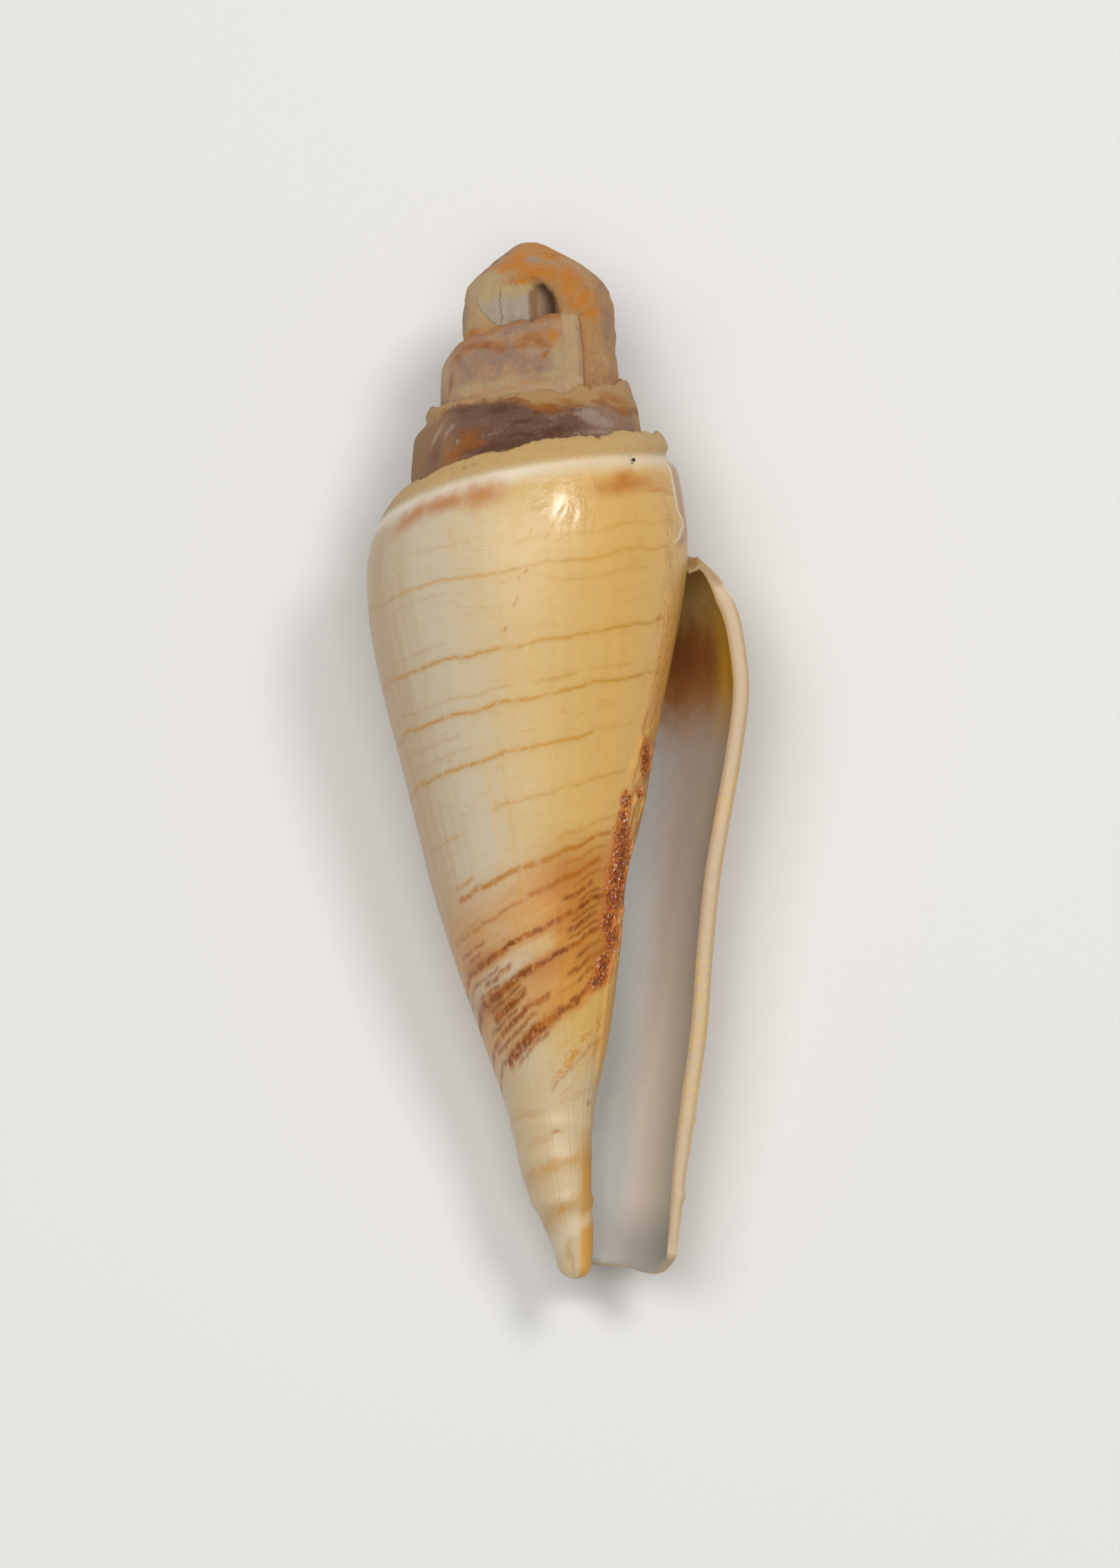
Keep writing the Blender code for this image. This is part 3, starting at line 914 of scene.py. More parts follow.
    def triangles(self) -> Array:
        """Every triangle of the shell, standing on its axis, with the values at its corners.

        Returns:
            Triangles by three corners of seven numbers.
        """
        heights, radii = self.outer_grid()
        outer = self.corners(self.angle, heights, radii, 0.0)
        count, bottom = self.per_turn, self.band_rows
        outer[count:, 0, :3] = outer[:-count, bottom, :3]
        outer[:count, 0, :3] = 0
        outer[0, :, :3] = 0
        inner = self.corners(self.angle[self.mouth :], *self.inner_grid(heights[self.mouth :]), 1.0)
        inner[:, 0, :3] = outer[self.pillar, bottom + 1, :3]
        lip = rolled_edge(outer[-1], inner[-1], self.lip_outward(outer[-1]), share=self.lip_bulge)
        lip[1:-1, 0] = lip[0, 0]
        down = np.array([0.0, -1.0, 0.0])
        rim = rolled_edge(outer[self.mouth :, -1], inner[:, -1], np.broadcast_to(down, (len(inner), 3)))
        rim[:, -1, :3] = lip[:, -1, :3]
        start = self.pillar.start
        behind = np.concatenate([outer[start : self.mouth, -1], rim[:, 0], outer[start : start + 1, -1]])
        return np.concatenate(
            [
                tiles(outer[:, : bottom + 1]),
                tiles(outer[self.whorl :, bottom:]),
                tiles(outer[self.pillar, bottom + 1 :]),
                tiles(inner),
                tiles(lip),
                tiles(rim),
                bridge(inner[0], outer[start, bottom + 1 :]),
                tiles(self.tip(behind)),
            ]
        )

    def lay_down(self, points: Array) -> Array:
        """Tips the spire up, moves the apex to its place, and flattens what is lowest onto the ground.

        Args:
            points: Points of the standing shell, in millimetres.

        Returns:
            The points where the frame's solid lies, in metres.
        """
        turn = np.array(Matrix.Rotation(math.radians(self.rest_pitch), 3, "X"))
        placed = points @ turn.T + np.array(self.apex_place)
        placed[..., 2] = np.maximum(placed[..., 2], 0)
        return placed * MILLIMETRE

    def build(self, name: str) -> bpy.types.Object:
        """Makes the mesh: corners in the same place are one vertex, and the values stay with the corners.

        Args:
            name: Name of the mesh and of the piece.

        Returns:
            The piece, linked to the scene.
        """
        triangles = self.triangles()
        points, where = np.unique(np.round(triangles[..., :3].reshape(-1, 3), 5), axis=0, return_inverse=True)
        faces = where.reshape(-1, 3)
        whole = (faces[:, 0] != faces[:, 1]) & (faces[:, 1] != faces[:, 2]) & (faces[:, 0] != faces[:, 2])
        faces, corners = faces[whole], triangles[whole].reshape(-1, triangles.shape[-1])
        mesh = bpy.data.meshes.new(name)
        mesh.from_pydata(self.lay_down(points).tolist(), [], faces.tolist())
        for title, values in self.markings.values(corners, self.surface).items():
            layer = mesh.attributes.new(title, "FLOAT", "CORNER")
            layer.data.foreach_set("value", np.ascontiguousarray(values, np.float32))
        bm = bmesh.new()
        bm.from_mesh(mesh)
        bmesh.ops.recalc_face_normals(bm, faces=bm.faces)
        LOG.info("%s: %d triangles, %d open edges", name, len(bm.faces), sum(e.is_boundary for e in bm.edges))
        bm.to_mesh(mesh)
        bm.free()
        mesh.shade_smooth()
        shell = bpy.data.objects.new(name, mesh)
        bpy.context.scene.collection.objects.link(shell)
        return shell


Colour = tuple[float, float, float, float]


def paint(red: float, green: float, blue: float) -> Colour:
    """Screen levels, 0 to 255, as the linear colour that a shader takes.

    Args:
        red: Level of red.
        green: Level of green.
        blue: Level of blue.

    Returns:
        The colour, fully opaque.
    """
    levels = np.array([red, green, blue]) / 255
    linear = np.where(levels <= 0.04045, levels / 12.92, ((levels + 0.055) / 1.055) ** 2.4)
    return (*linear.tolist(), 1.0)


@dataclass(frozen=True)
class Value:
    """A number that varies over the surface, with the arithmetic of plain numbers."""

    bench: "Bench"
    socket: bpy.types.NodeSocket

    def __add__(self, other: "Value | float") -> "Value":
        """This value plus another."""
        return self.bench.math("ADD", self, other)

    def __sub__(self, other: "Value | float") -> "Value":
        """This value less another."""
        return self.bench.math("SUBTRACT", self, other)

    def __rsub__(self, other: float) -> "Value":
        """A number less this value."""
        return self.bench.math("SUBTRACT", other, self)

    def __mul__(self, other: "Value | float") -> "Value":
        """This value times another."""
        return self.bench.math("MULTIPLY", self, other)

    def __truediv__(self, other: "Value | float") -> "Value":
        """This value over another."""
        return self.bench.math("DIVIDE", self, other)

    def __abs__(self) -> "Value":
        """This value without its sign."""
        return self.bench.math("ABSOLUTE", self)

    __radd__ = __add__
    __rmul__ = __mul__


class Bench:
    """Adds the nodes of one material, and joins them."""

    def __init__(self, name: str) -> None:
        """Starts a material with an empty tree.

        Args:
            name: The material's name.
        """
        self.material = bpy.data.materials.new(name)
        self.material.use_nodes = True
        self.tree = self.material.node_tree
        self.tree.nodes.clear()

    def node(self, kind: str, settings: dict | None = None, sockets: dict | None = None) -> bpy.types.Node:
        """Adds one node.

        Args:
            kind: The node's type.
            settings: Its properties, which are set first.
            sockets: What each input gets, by name or number: a value, another node's output, or a constant.

        Returns:
            The node.
        """
        made = self.tree.nodes.new(kind)
        for title, setting in (settings or {}).items():
            setattr(made, title, setting)
        for key, given in (sockets or {}).items():
            given = given.socket if isinstance(given, Value) else given
            if isinstance(given, bpy.types.NodeSocket):
                self.tree.links.new(given, made.inputs[key])
            else:
                made.inputs[key].default_value = given
        return made

    def math(self, operation: str, *terms: Value | float) -> Value:
        """One Math node."""
        made = self.node("ShaderNodeMath", {"operation": operation}, dict(enumerate(terms)))
        return Value(self, made.outputs[0])

    def least(self, first: Value, second: Value | float) -> Value:
        """The smaller of two values."""
        return self.math("MINIMUM", first, second)

    def most(self, first: Value, second: Value | float) -> Value:
        """The larger of two values."""
        return self.math("MAXIMUM", first, second)

    def read(self, title: str) -> Value:
        """A value that the mesh carries."""
        made = self.node("ShaderNodeAttribute", {"attribute_type": "GEOMETRY", "attribute_name": title})
        return Value(self, made.outputs["Fac"])

    def step(self, value: Value, low: float, high: float) -> Value:
        """0 at low and 1 at high, along an S curve; low may be above high.

        Args:
            value: What is read.
            low: Where the curve is 0.
            high: Where it is 1.

        Returns:
            A value from 0 to 1.
        """
        sockets = {"Value": value, "From Min": low, "From Max": high}
        made = self.node("ShaderNodeMapRange", {"interpolation_type": "SMOOTHSTEP"}, sockets)
        return Value(self, made.outputs[0])

    def band(self, value: Value, low: float, high: float, edge: float) -> Value:
        """1 from low to high, with an S curve as wide as edge at both ends."""
        rise = self.step(value, low - edge / 2, low + edge / 2)
        return rise * self.step(value, high + edge / 2, high - edge / 2)

    def place(self) -> bpy.types.NodeSocket:
        """Object coordinates, in millimetres.

        Returns:
            A vector.
        """
        where = self.node("ShaderNodeTexCoord").outputs["Object"]
        sockets = {"Vector": where, "Scale": 1 / MILLIMETRE}
        return self.node("ShaderNodeVectorMath", {"operation": "SCALE"}, sockets).outputs[0]

    def join(self, x: Value | float, y: Value | float, z: Value | float = 0.0) -> bpy.types.NodeSocket:
        """A vector made from three values."""
        return self.node("ShaderNodeCombineXYZ", None, {"X": x, "Y": y, "Z": z}).outputs[0]

    def noise(
        self, where: bpy.types.NodeSocket, scale: float = 1.0, detail: float = 2.0, rough: float = 0.5
    ) -> Value:
        """Smooth noise round 0.5, with scale features to a unit."""
        sockets = {"Vector": where, "Scale": scale, "Detail": detail, "Roughness": rough}
        return Value(self, self.node("ShaderNodeTexNoise", None, sockets).outputs["Fac"])

    def mix(self, share: Value | float, first: object, second: object) -> bpy.types.NodeSocket:
        """The first colour, with this share of the second over it."""
        settings = {"data_type": "RGBA", "clamp_factor": True}
        return self.node("ShaderNodeMix", settings, {0: share, 6: first, 7: second}).outputs[2]


@dataclass(frozen=True)
class ColourLine:
    """A line that winds with the shell: where it crosses the front, its ends, half width and strength."""

    spiral: float
    start: float
    end: float
    half_width: float
    strength: float


@dataclass(frozen=True)
class LineSet:
    """The colour lines of the last whorl, faint and ochre above, dark brown below."""

    lines: tuple[ColourLine, ...] = tuple(
        ColourLine(*row)
        for row in (
            (20.5, -50, -25, 0.10, 0.25), (21.0, -10, 60, 0.10, 0.35), (22.75, -85, 60, 0.11, 0.55),
            (23.6, -60, -35, 0.09, 0.25), (24.0, 5, 45, 0.09, 0.35), (26.8, -70, -38, 0.10, 0.30),
            (27.75, -95, 75, 0.12, 0.80), (30.25, -88, -15, 0.10, 0.35), (30.3, -6, 12, 0.12, 0.50),
            (30.3, 18, 40, 0.10, 0.40), (31.25, -95, 78, 0.12, 0.90), (32.6, -80, -40, 0.10, 0.35),
            (33.5, -75, -34, 0.10, 0.30), (34.4, 20, 44, 0.10, 0.35), (34.5, -90, 20, 0.13, 0.85),
            (37.7, -30, 42, 0.12, 0.50), (38.3, -78, -45, 0.10, 0.45), (40.8, 0, 40, 0.10, 0.45),
            (41.1, -62, -48, 0.12, 0.60), (41.85, -62, 36, 0.13, 0.85), (42.7, 4, 34, 0.10, 0.45),
            (43.65, -18, 30, 0.14, 0.90), (43.9, -78, -18, 0.10, 0.50), (45.0, 2, 24, 0.13, 0.90),
            (46.1, -90, 38, 0.15, 1.0), (44.35, 10, 38, 0.09, 0.55), (45.6, 14, 40, 0.10, 0.65),
            (46.65, 8, 40, 0.10, 0.65), (47.75, 6, 40, 0.10, 0.65), (45.9, -86, -52, 0.10, 0.60),
            (46.9, -86, -44, 0.10, 0.65), (47.8, -70, -46, 0.10, 0.70), (48.85, -64, -30, 0.12, 0.75),
            (50.0, -70, -36, 0.12, 0.70), (51.2, -72, -22, 0.12, 0.70), (52.9, -50, -14, 0.12, 0.60),
            (47.2, 5, 30, 0.13, 0.90), (44.9, -75, -50, 0.10, 0.60), (45.4, -68, -55, 0.10, 0.50),
            (47.3, -60, -35, 0.14, 0.80), (48.3, -85, -18, 0.24, 1.0), (48.3, -22, 44, 0.15, 1.0),
            (49.2, 12, 38, 0.12, 0.80), (50.0, 4, 38, 0.12, 0.75), (50.8, 12, 36, 0.11, 0.70),
            (49.45, -62, -28, 0.22, 1.0), (50.7, -85, -62, 0.16, 0.80), (50.5, -60, -10, 0.18, 0.90),
            (51.9, 5, 60, 0.18, 0.90), (52.2, -62, -2, 0.30, 1.0), (52.2, -6, 16, 0.18, 0.90),
            (52.0, -88, -55, 0.12, 0.70), (56.3, -20, 55, 0.12, 0.30),
        )
    )
    wave: float = 1.0
    jitter: float = 0.34
    ends: float = 5.0
    faint: float = 0.2
    crisp_from: float = 41.0
    crisp_fall: float = 0.3
    leaves_left: float = -84.0
    leaves_right: float = -262.0

    def mask(self, bench: Bench, spiral: Value, direction: Value) -> Value:
        """How strong the lines are: each is 1 over 1 + d2, d its distance in half widths, inside its window.

        The lower, crisp ones fall with the fourth power of d instead. A line that leaves the front at its
        left end goes on round the back. Noise bends the lines and breaks them into dashes, and faint threads
        are the level lines of another noise.

        Args:
            bench: The material's bench.
            spiral: Height at which a line through each place crosses the front.
            direction: Direction of each place.

        Returns:
            0 off the lines, and up to 1 on them.
        """
        across = direction / DEGREES_PER_MM
        wave = bench.noise(bench.join(across / 3.0, spiral / 14.0), 1.0, 2.0) - 0.5
        jitter = bench.noise(bench.join(across * 2.6, spiral / 1.5), 1.0, 3.0, 0.6) - 0.5
        moved = spiral + wave * self.wave + jitter * self.jitter
        total = None
        for line in self.lines:
            off = (moved - line.spiral) / line.half_width
            fall = off * off
            fall = fall * fall * self.crisp_fall if line.spiral > self.crisp_from else fall
            start = line.start if line.start > self.leaves_left else self.leaves_right
            one = bench.band(direction, start, line.end, self.ends) * line.strength / (fall + 1)
            total = one if total is None else bench.most(total, one)
        dashes = bench.step(bench.noise(bench.join(across * 1.3, spiral * 2.0), 1.0, 2.0), 0.34, 0.52)
        threads = bench.noise(bench.join(across / 11.0, moved * 1.1), 1.0, 1.0) - 0.5
        faint = bench.step(abs(threads), 0.03, 0.0) * bench.band(spiral, 18, 53, 4)
        patches = bench.step(bench.noise(bench.join(across / 2.5, spiral / 2.5), 1.0, 1.0), 0.42, 0.6)
        total = total * (dashes * 0.5 + 0.5)
        return bench.most(total, faint * patches * self.faint)


@dataclass(frozen=True)
class Probe:
    """What every part of the finish reads: place on the shell, and noise of a few kinds, each round 0."""

    bench: Bench
    place: bpy.types.NodeSocket
    direction: Value
    height: Value
    below: Value
    spiral: Value
    inner: Value
    patchy: Value
    fine: Value
    streaks: Value
    swirls: Value

    @classmethod
    def on(cls, bench: Bench) -> "Probe":
        """Reads the mesh's values. Streaks run along the axis, and swirls run round the shell.

        Args:
            bench: The material's bench.

        Returns:
            The probe.
        """
        titles = ("direction", "height", "below", "spiral", "inner")
        direction, height, below, spiral, inner = (bench.read(title) for title in titles)
        place, across = bench.place(), direction / DEGREES_PER_MM
        return cls(
            bench=bench,
            place=place,
            direction=direction,
            height=height,
            below=below,
            spiral=spiral,
            inner=inner,
            patchy=bench.noise(place, 0.9, 4.0, 0.6) - 0.5,
            fine=bench.noise(place, 3.2, 4.0, 0.65) - 0.5,
            streaks=bench.noise(bench.join(across * 1.6, height / 9.0, inner), 1.0, 3.0, 0.6) - 0.5,
            swirls=bench.noise(bench.join(across / 4.5, spiral * 1.1, inner), 1.0, 3.0, 0.6) - 0.5,
        )

    def blot(self, title: str, edge: float, ragged: float) -> Value:
        """A named blot's mask: its edge is as wide as edge, and noise makes it ragged."""
        inside = self.bench.read(title) + (self.patchy + self.fine * 0.6) * ragged
        return self.bench.step(inside, 0.5 - edge, 0.5 + edge) * (1 - self.inner)


@dataclass(frozen=True)
class LastWhorl:
    """Colours of the last whorl: cream at the left, ochre at the right, and tan where the lines crowd."""

    left: Colour = paint(196, 165, 121)
    cream: Colour = paint(208, 192, 162)
    yellow: Colour = paint(210, 176, 112)
    ochre: Colour = paint(219, 173, 96)
    band: Colour = paint(206, 142, 60)
    anterior: Colour = paint(208, 184, 142)
    tan: Colour = paint(196, 150, 90)
    pillar: Colour = paint(206, 152, 68)
    collar: Colour = paint(225, 183, 116)
    # Pale ridge below the collar and a pale band by the anterior end; also the painted highlight along the
    # crease.
    ridge: Colour = paint(236, 222, 198)
    line_faint: Colour = paint(192, 134, 24)
    line_brown: Colour = paint(178, 98, 6)
    line_dark: Colour = paint(122, 52, 2)
    squiggle: Colour = paint(176, 100, 34)
    # Painted shade beside the crease.
    shade: Colour = paint(150, 100, 84)
    peach: Colour = paint(220, 164, 88)
    crust_light: Colour = paint(208, 112, 30)
    crust: Colour = paint(128, 52, 10)
    bloom: Colour = paint(228, 186, 160)

    def ground(self, probe: Probe) -> bpy.types.NodeSocket:
        """Base by direction, the warm band by the spiral, then the anterior end and the pillar's side.

        Args:
            probe: What the finish reads from the surface.

        Returns:
            The colour.
        """
        bench = probe.bench
        calm = bench.step(probe.height, 60, 46)
        turn = probe.direction + probe.streaks * calm * 26 + probe.patchy * 14
        colour = bench.mix(bench.step(turn, -80, -42), self.left, self.cream)
        colour = bench.mix(bench.step(turn, -44, -2), colour, self.yellow)
        colour = bench.mix(bench.step(turn, -8, 34), colour, self.ochre)
        along = probe.spiral + probe.swirls * 3.0
        band = bench.step(along, 40, 44.5) * bench.step(along, 53.8, 51.6)
        gap = bench.band(probe.spiral, 46.6, 47.9, 0.5) * bench.step(probe.direction, 2, -12)
        cleared = gap * 0.7 + bench.step(probe.swirls, -0.02, 0.16) * 0.25
        side = 0.68 + bench.step(probe.direction, -34, 4) * 0.32
        colour = bench.mix(band * side * (1 - cleared), colour, self.band)
        colour = bench.mix(bench.step(probe.height + probe.patchy * 2, 53, 58), colour, self.anterior)
        pillar = bench.step(probe.direction, 8, 34) * bench.step(probe.height, 59, 63)
        return bench.mix(pillar, colour, self.pillar)

    def colour(self, probe: Probe) -> bpy.types.NodeSocket:
        """The ground, with tan ribs and ochre flecks at the anterior end, and the collar and ridge on top.

        Args:
            probe: What the finish reads from the surface.

        Returns:
            The colour before lines, callus and crust.
        """
        bench, colour = probe.bench, self.ground(probe)
        curved = probe.height + probe.direction * 0.012 + probe.patchy * 0.6
        ribs = bench.noise(bench.join(probe.direction / 90, curved * 0.8), 1.0, 3.0, 0.6) - 0.5
        tinted = bench.step(ribs, 0.04, 0.14) * bench.step(probe.height, 54, 59) * 0.35
        tinted = tinted + bench.band(curved, 61.8, 62.9, 1.2) * 0.5
        tinted = tinted + bench.band(curved, 64.6, 65.6, 0.8) * 0.6
        colour = bench.mix(tinted, colour, self.tan)
        colour = bench.mix(bench.band(curved, 66.2, 67.2, 0.8) * 0.35, colour, self.ridge)
        slant = probe.spiral + probe.fine * 0.8
        flecks = bench.band(slant, 54.6, 57.4, 2.0) * bench.step(probe.direction, -30, 0)
        flecks = flecks * bench.step(probe.swirls + probe.fine * 0.8, -0.02, 0.14)
        colour = bench.mix(flecks * 0.85, colour, self.band)
        under = probe.below + probe.patchy * 0.5
        ridge = bench.band(under, 1.45, 2.5, 1.4) * (0.65 + bench.step(probe.direction, 15, -25) * 0.3)
        colour = bench.mix(ridge, colour, self.ridge)
        return bench.mix(bench.step(under, 1.9, 0.9), colour, self.collar)

    def lined(self, probe: Probe, colour: bpy.types.NodeSocket) -> bpy.types.NodeSocket:
        """Adds the colour lines: faint and ochre above, brown below, and darker in patches.

        Args:
            probe: What the finish reads from the surface.
            colour: The colour so far.

        Returns:
            The colour with the lines over it.
        """
        bench = probe.bench
        lines = LineSet().mask(bench, probe.spiral, probe.direction)
        lines = lines * bench.step(probe.direction, 84, 78) * (1 - probe.inner)
        ink = bench.mix(bench.step(probe.spiral, 40, 43), self.line_faint, self.line_brown)
        darker = bench.step(probe.patchy, -0.14, 0.06) * bench.step(probe.spiral, 43, 46)
        ink = bench.mix(darker * 0.85, ink, self.line_dark)
        return bench.mix(lines * 0.95, colour, ink)

    def creased(self, probe: Probe, colour: bpy.types.NodeSocket) -> bpy.types.NodeSocket:
        """Adds the callus's peach, brown squiggles by the aperture, and at the crease a painted highlight in
        a pale line with painted shade beside it.

        Args:
            probe: What the finish reads from the surface.
            colour: The colour so far.

        Returns:
            The colour with these over it.
        """
        bench = probe.bench
        colour = bench.mix(bench.read("callus") * 0.8, colour, self.peach)
        threads = bench.noise(bench.join(probe.direction / 3.0, probe.height * 0.5), 1.0, 3.0, 0.6) - 0.5
        squiggles = bench.step(abs(threads), 0.035, 0.01) * bench.step(probe.direction, 50, 58)
        squiggles = squiggles * bench.band(probe.height, 18, 45, 6) * bench.step(probe.direction, 86, 76)
        colour = bench.mix(squiggles * 0.5, colour, self.squiggle)
        crease = 67 + bench.band(probe.height, 19.3, 20.3, 0.9) * 5
        crease = crease - bench.step(probe.height, 20.6, 21.8) * 10
        off = probe.direction + probe.fine * 5 - crease
        window = bench.band(probe.height, 15.6, 21.3, 0.8)
        # Painted shade on the far side of the crease.
        shaded = bench.step(off, 0.5, 4.5) * window * bench.step(off, 18, 8)
        colour = bench.mix(shaded * 0.6, colour, self.shade)
        # Painted highlight: a pale line along the crease.
        return bench.mix(bench.band(off, -1.2, 1.2, 1.8) * window * 0.7, colour, self.ridge)

    def crusted(self, probe: Probe, colour: bpy.types.NodeSocket) -> bpy.types.NodeSocket:
        """Adds the brown crust on the callus, grain by grain, with a bloom of pale specks.

        Args:
            probe: What the finish reads from the surface.
            colour: The colour so far.

        Returns:
            The colour with the crust over it.
        """
        bench = probe.bench
        grains = bench.noise(bench.join(probe.direction / DEGREES_PER_MM, probe.height), 3.4, 2.0, 0.6) - 0.5
        near = bench.read("crust")
        colour = bench.mix(bench.step(near, 0.0, 0.4) * 0.5, colour, self.crust_light)
        colour = bench.mix(bench.step(near + grains * 0.7, 0.1, 0.6) * 0.8, colour, self.crust_light)
        crust = bench.step(near + grains * 2.6, 0.5, 0.72) * bench.step(near, 0.05, 0.2)
        colour = bench.mix(crust * 0.85, colour, self.crust)
        specks = bench.step(bench.noise(probe.place, 4.5, 1.0), 0.62, 0.67)
        around = bench.step(near + bench.read("callus") * 0.3, 0.2, 0.5)
        bloom = specks * around * bench.step(probe.height, 34, 38)
        return bench.mix(bloom * 0.75, colour, self.bloom)


@dataclass(frozen=True)
class Spire:
    """Colours of the worn whorls and of the cap with its window."""

    third: Colour = paint(210, 164, 108)
    band: Colour = paint(134, 96, 74)
    band_grey: Colour = paint(170, 144, 126)
    band_brown: Colour = paint(104, 62, 44)
    fringe: Colour = paint(176, 110, 52)
    side: Colour = paint(176, 128, 82)
    band_right: Colour = paint(184, 144, 116)
    second: Colour = paint(216, 168, 120)
    second_grey: Colour = paint(186, 150, 128)
    second_top: Colour = paint(194, 128, 64)
    rim: Colour = paint(226, 190, 140)
    cap: Colour = paint(212, 158, 98)
    cap_pink: Colour = paint(196, 144, 108)
    cap_pale: Colour = paint(220, 184, 132)
    panel: Colour = paint(206, 186, 162)
    panel_top: Colour = paint(216, 186, 132)
    seam: Colour = paint(160, 108, 66)
    behind: Colour = paint(184, 150, 118)
    # Painted shadow under the window's arch.
    arch_shadow: Colour = paint(78, 48, 22)
    crack: Colour = paint(128, 90, 56)
    opening: CapWindow = CapWindow()
    third_from: float = 170.0
    second_from: float = 530.0
    cap_from: float = 755.0

    def third_whorl(self, probe: Probe) -> bpy.types.NodeSocket:
        """Tan above and at both sides, the mauve-brown band between them, and an orange fringe over it.

        Args:
            probe: What the finish reads from the surface.

        Returns:
            The whorl's colour.
        """
        bench, turn = probe.bench, probe.direction - FULL_TURN
        top = 0.3 + bench.step(turn, -15, 4) * 0.9
        top = top + bench.step(turn, 40, 56) * 0.8 + bench.step(turn, -50, -68) * 0.8
        depth = probe.below - top + probe.patchy * 0.9 + probe.fine * 0.3
        inside = bench.step(depth, -0.2, 0.3) * bench.step(turn, -76, -60) * bench.step(turn, 76, 60)
        mottle = probe.swirls * 1.3 + probe.fine * 0.9
        band = bench.mix(bench.step(mottle, 0.06, 0.34), self.band, self.band_grey)
        band = bench.mix(bench.step(mottle, -0.04, -0.3) * 0.7, band, self.band_brown)
        band = bench.mix(bench.step(turn, 20, 44) * 0.75, band, self.band_right)
        low_left = bench.step(turn + probe.patchy * 16 - probe.below * 5, -46, -66)
        band = bench.mix(low_left * 0.85, band, self.side)
        fringe = bench.band(depth, -0.15, 0.35, 0.3) * bench.step(probe.patchy + turn / 400, -0.15, 0.1)
        far_left = bench.step(turn, -55, -66) * bench.step(probe.below, 0.9, 1.6)
        base = bench.mix(far_left, self.third, self.side)
        return bench.mix(fringe * 0.8, bench.mix(inside, base, band), self.fringe)

    def window(self, probe: Probe, colour: bpy.types.NodeSocket) -> bpy.types.NodeSocket:
        """Panels of the older whorl in the cap's window, their seams, and painted shadow under the arch.

        The arch is the one that is cut into the mesh. The left edge moves right with the square of its drop.

        Args:
            probe: What the finish reads from the surface.
            colour: The colour so far.

        Returns:
            The colour with the window in it.
        """
        bench, opening = probe.bench, self.opening
        turn = probe.direction - 3 * FULL_TURN + probe.fine * 4 + probe.patchy * 4
        rise = bench.least(bench.most((probe.height - opening.top) / opening.arch_height, 0.0), 1.0)
        arch = bench.math("SQRT", 1 - (1 - rise) * (1 - rise)) * opening.arch_direction
        drop = bench.least(bench.most((probe.height - opening.left_top) / opening.left_height, 0.0), 1.0)
        left = drop * drop * opening.left_swing + opening.left_direction
        inside = bench.step(turn - arch, 1.2, -1.2) * bench.step(turn - left, -1.5, 1.5)
        tall = bench.step(probe.height + probe.fine * 0.4, 3.1, 3.5)
        panel = bench.mix(bench.step(probe.height + probe.patchy, 4.5, 3.7), self.panel, self.panel_top)
        panel = bench.mix(bench.step(turn, -2, 4) * 0.9, panel, self.behind)
        rusty = bench.band(turn, -1.0, 6.0, 3.0) + bench.step(probe.height, 5.6, 6.4) * 0.6
        panel = bench.mix(rusty * 0.7, panel, self.seam)
        seams = bench.band(turn + 26, -0.5, 0.5, 0.9) * 0.7 + bench.band(turn + 1.5, -0.5, 0.5, 0.9) * 0.5
        seams = seams + bench.band(turn - left, -0.8, 0.8, 1.0) * 0.8
        panel = bench.mix(seams * 0.7, panel, self.crack)
        # Painted shadow under the arch's overhang, strongest next to the arch.
        dark = bench.step(turn - arch, -17, -2) * bench.step(probe.height, 6.9, 6.1)
        panel = bench.mix(dark * 0.95, panel, self.arch_shadow)
        return bench.mix(inside * tall * bench.step(probe.direction, 990, 1010), colour, panel)

    def colour(self, probe: Probe, below: bpy.types.NodeSocket) -> bpy.types.NodeSocket:
        """Third whorl, second whorl and cap, one after another up the shell.

        Args:
            probe: What the finish reads from the surface.
            below: The last whorl's colour.

        Returns:
            The colour of the whole outside.
        """
        bench = probe.bench
        on_third = bench.step(probe.direction, self.third_from - 2, self.third_from + 2)
        colour = bench.mix(on_third, below, self.third_whorl(probe))
        greyed = bench.step(probe.patchy + probe.fine * 0.4, -0.1, 0.2)
        second = bench.mix(greyed, self.second, self.second_grey)
        top = bench.step(probe.below + probe.patchy * 1.2, 0.7, 0.15) * bench.step(probe.direction, 752, 744)
        second = bench.mix(top * 0.8, second, self.second_top)
        rim = bench.band(probe.direction + probe.fine * 3, 742, 752, 3.0) + bench.step(probe.below, 4.3, 4.8)
        second = bench.mix(rim * 0.7, second, self.rim)
        on_second = bench.step(probe.direction, self.second_from - 2, self.second_from + 2)
        colour = bench.mix(on_second, colour, second)
        mottle = probe.patchy + probe.fine * 0.7
        cap = bench.mix(bench.step(mottle, 0.0, 0.24), self.cap, self.cap_pink)
        cap = bench.mix(bench.step(mottle, -0.06, -0.3), cap, self.cap_pale)
        left = bench.step(probe.direction + probe.patchy * 20, 1064, 1040)
        left = left * bench.band(probe.height, 2.0, 6.2, 1.4) * bench.step(probe.direction, 990, 1005)
        cap = bench.mix(left * 0.75, cap, self.cap_pale)
        on_cap = bench.step(probe.direction, self.cap_from - 1, self.cap_from + 1)
        colour = bench.mix(on_cap, colour, cap)
        return self.window(probe, colour)


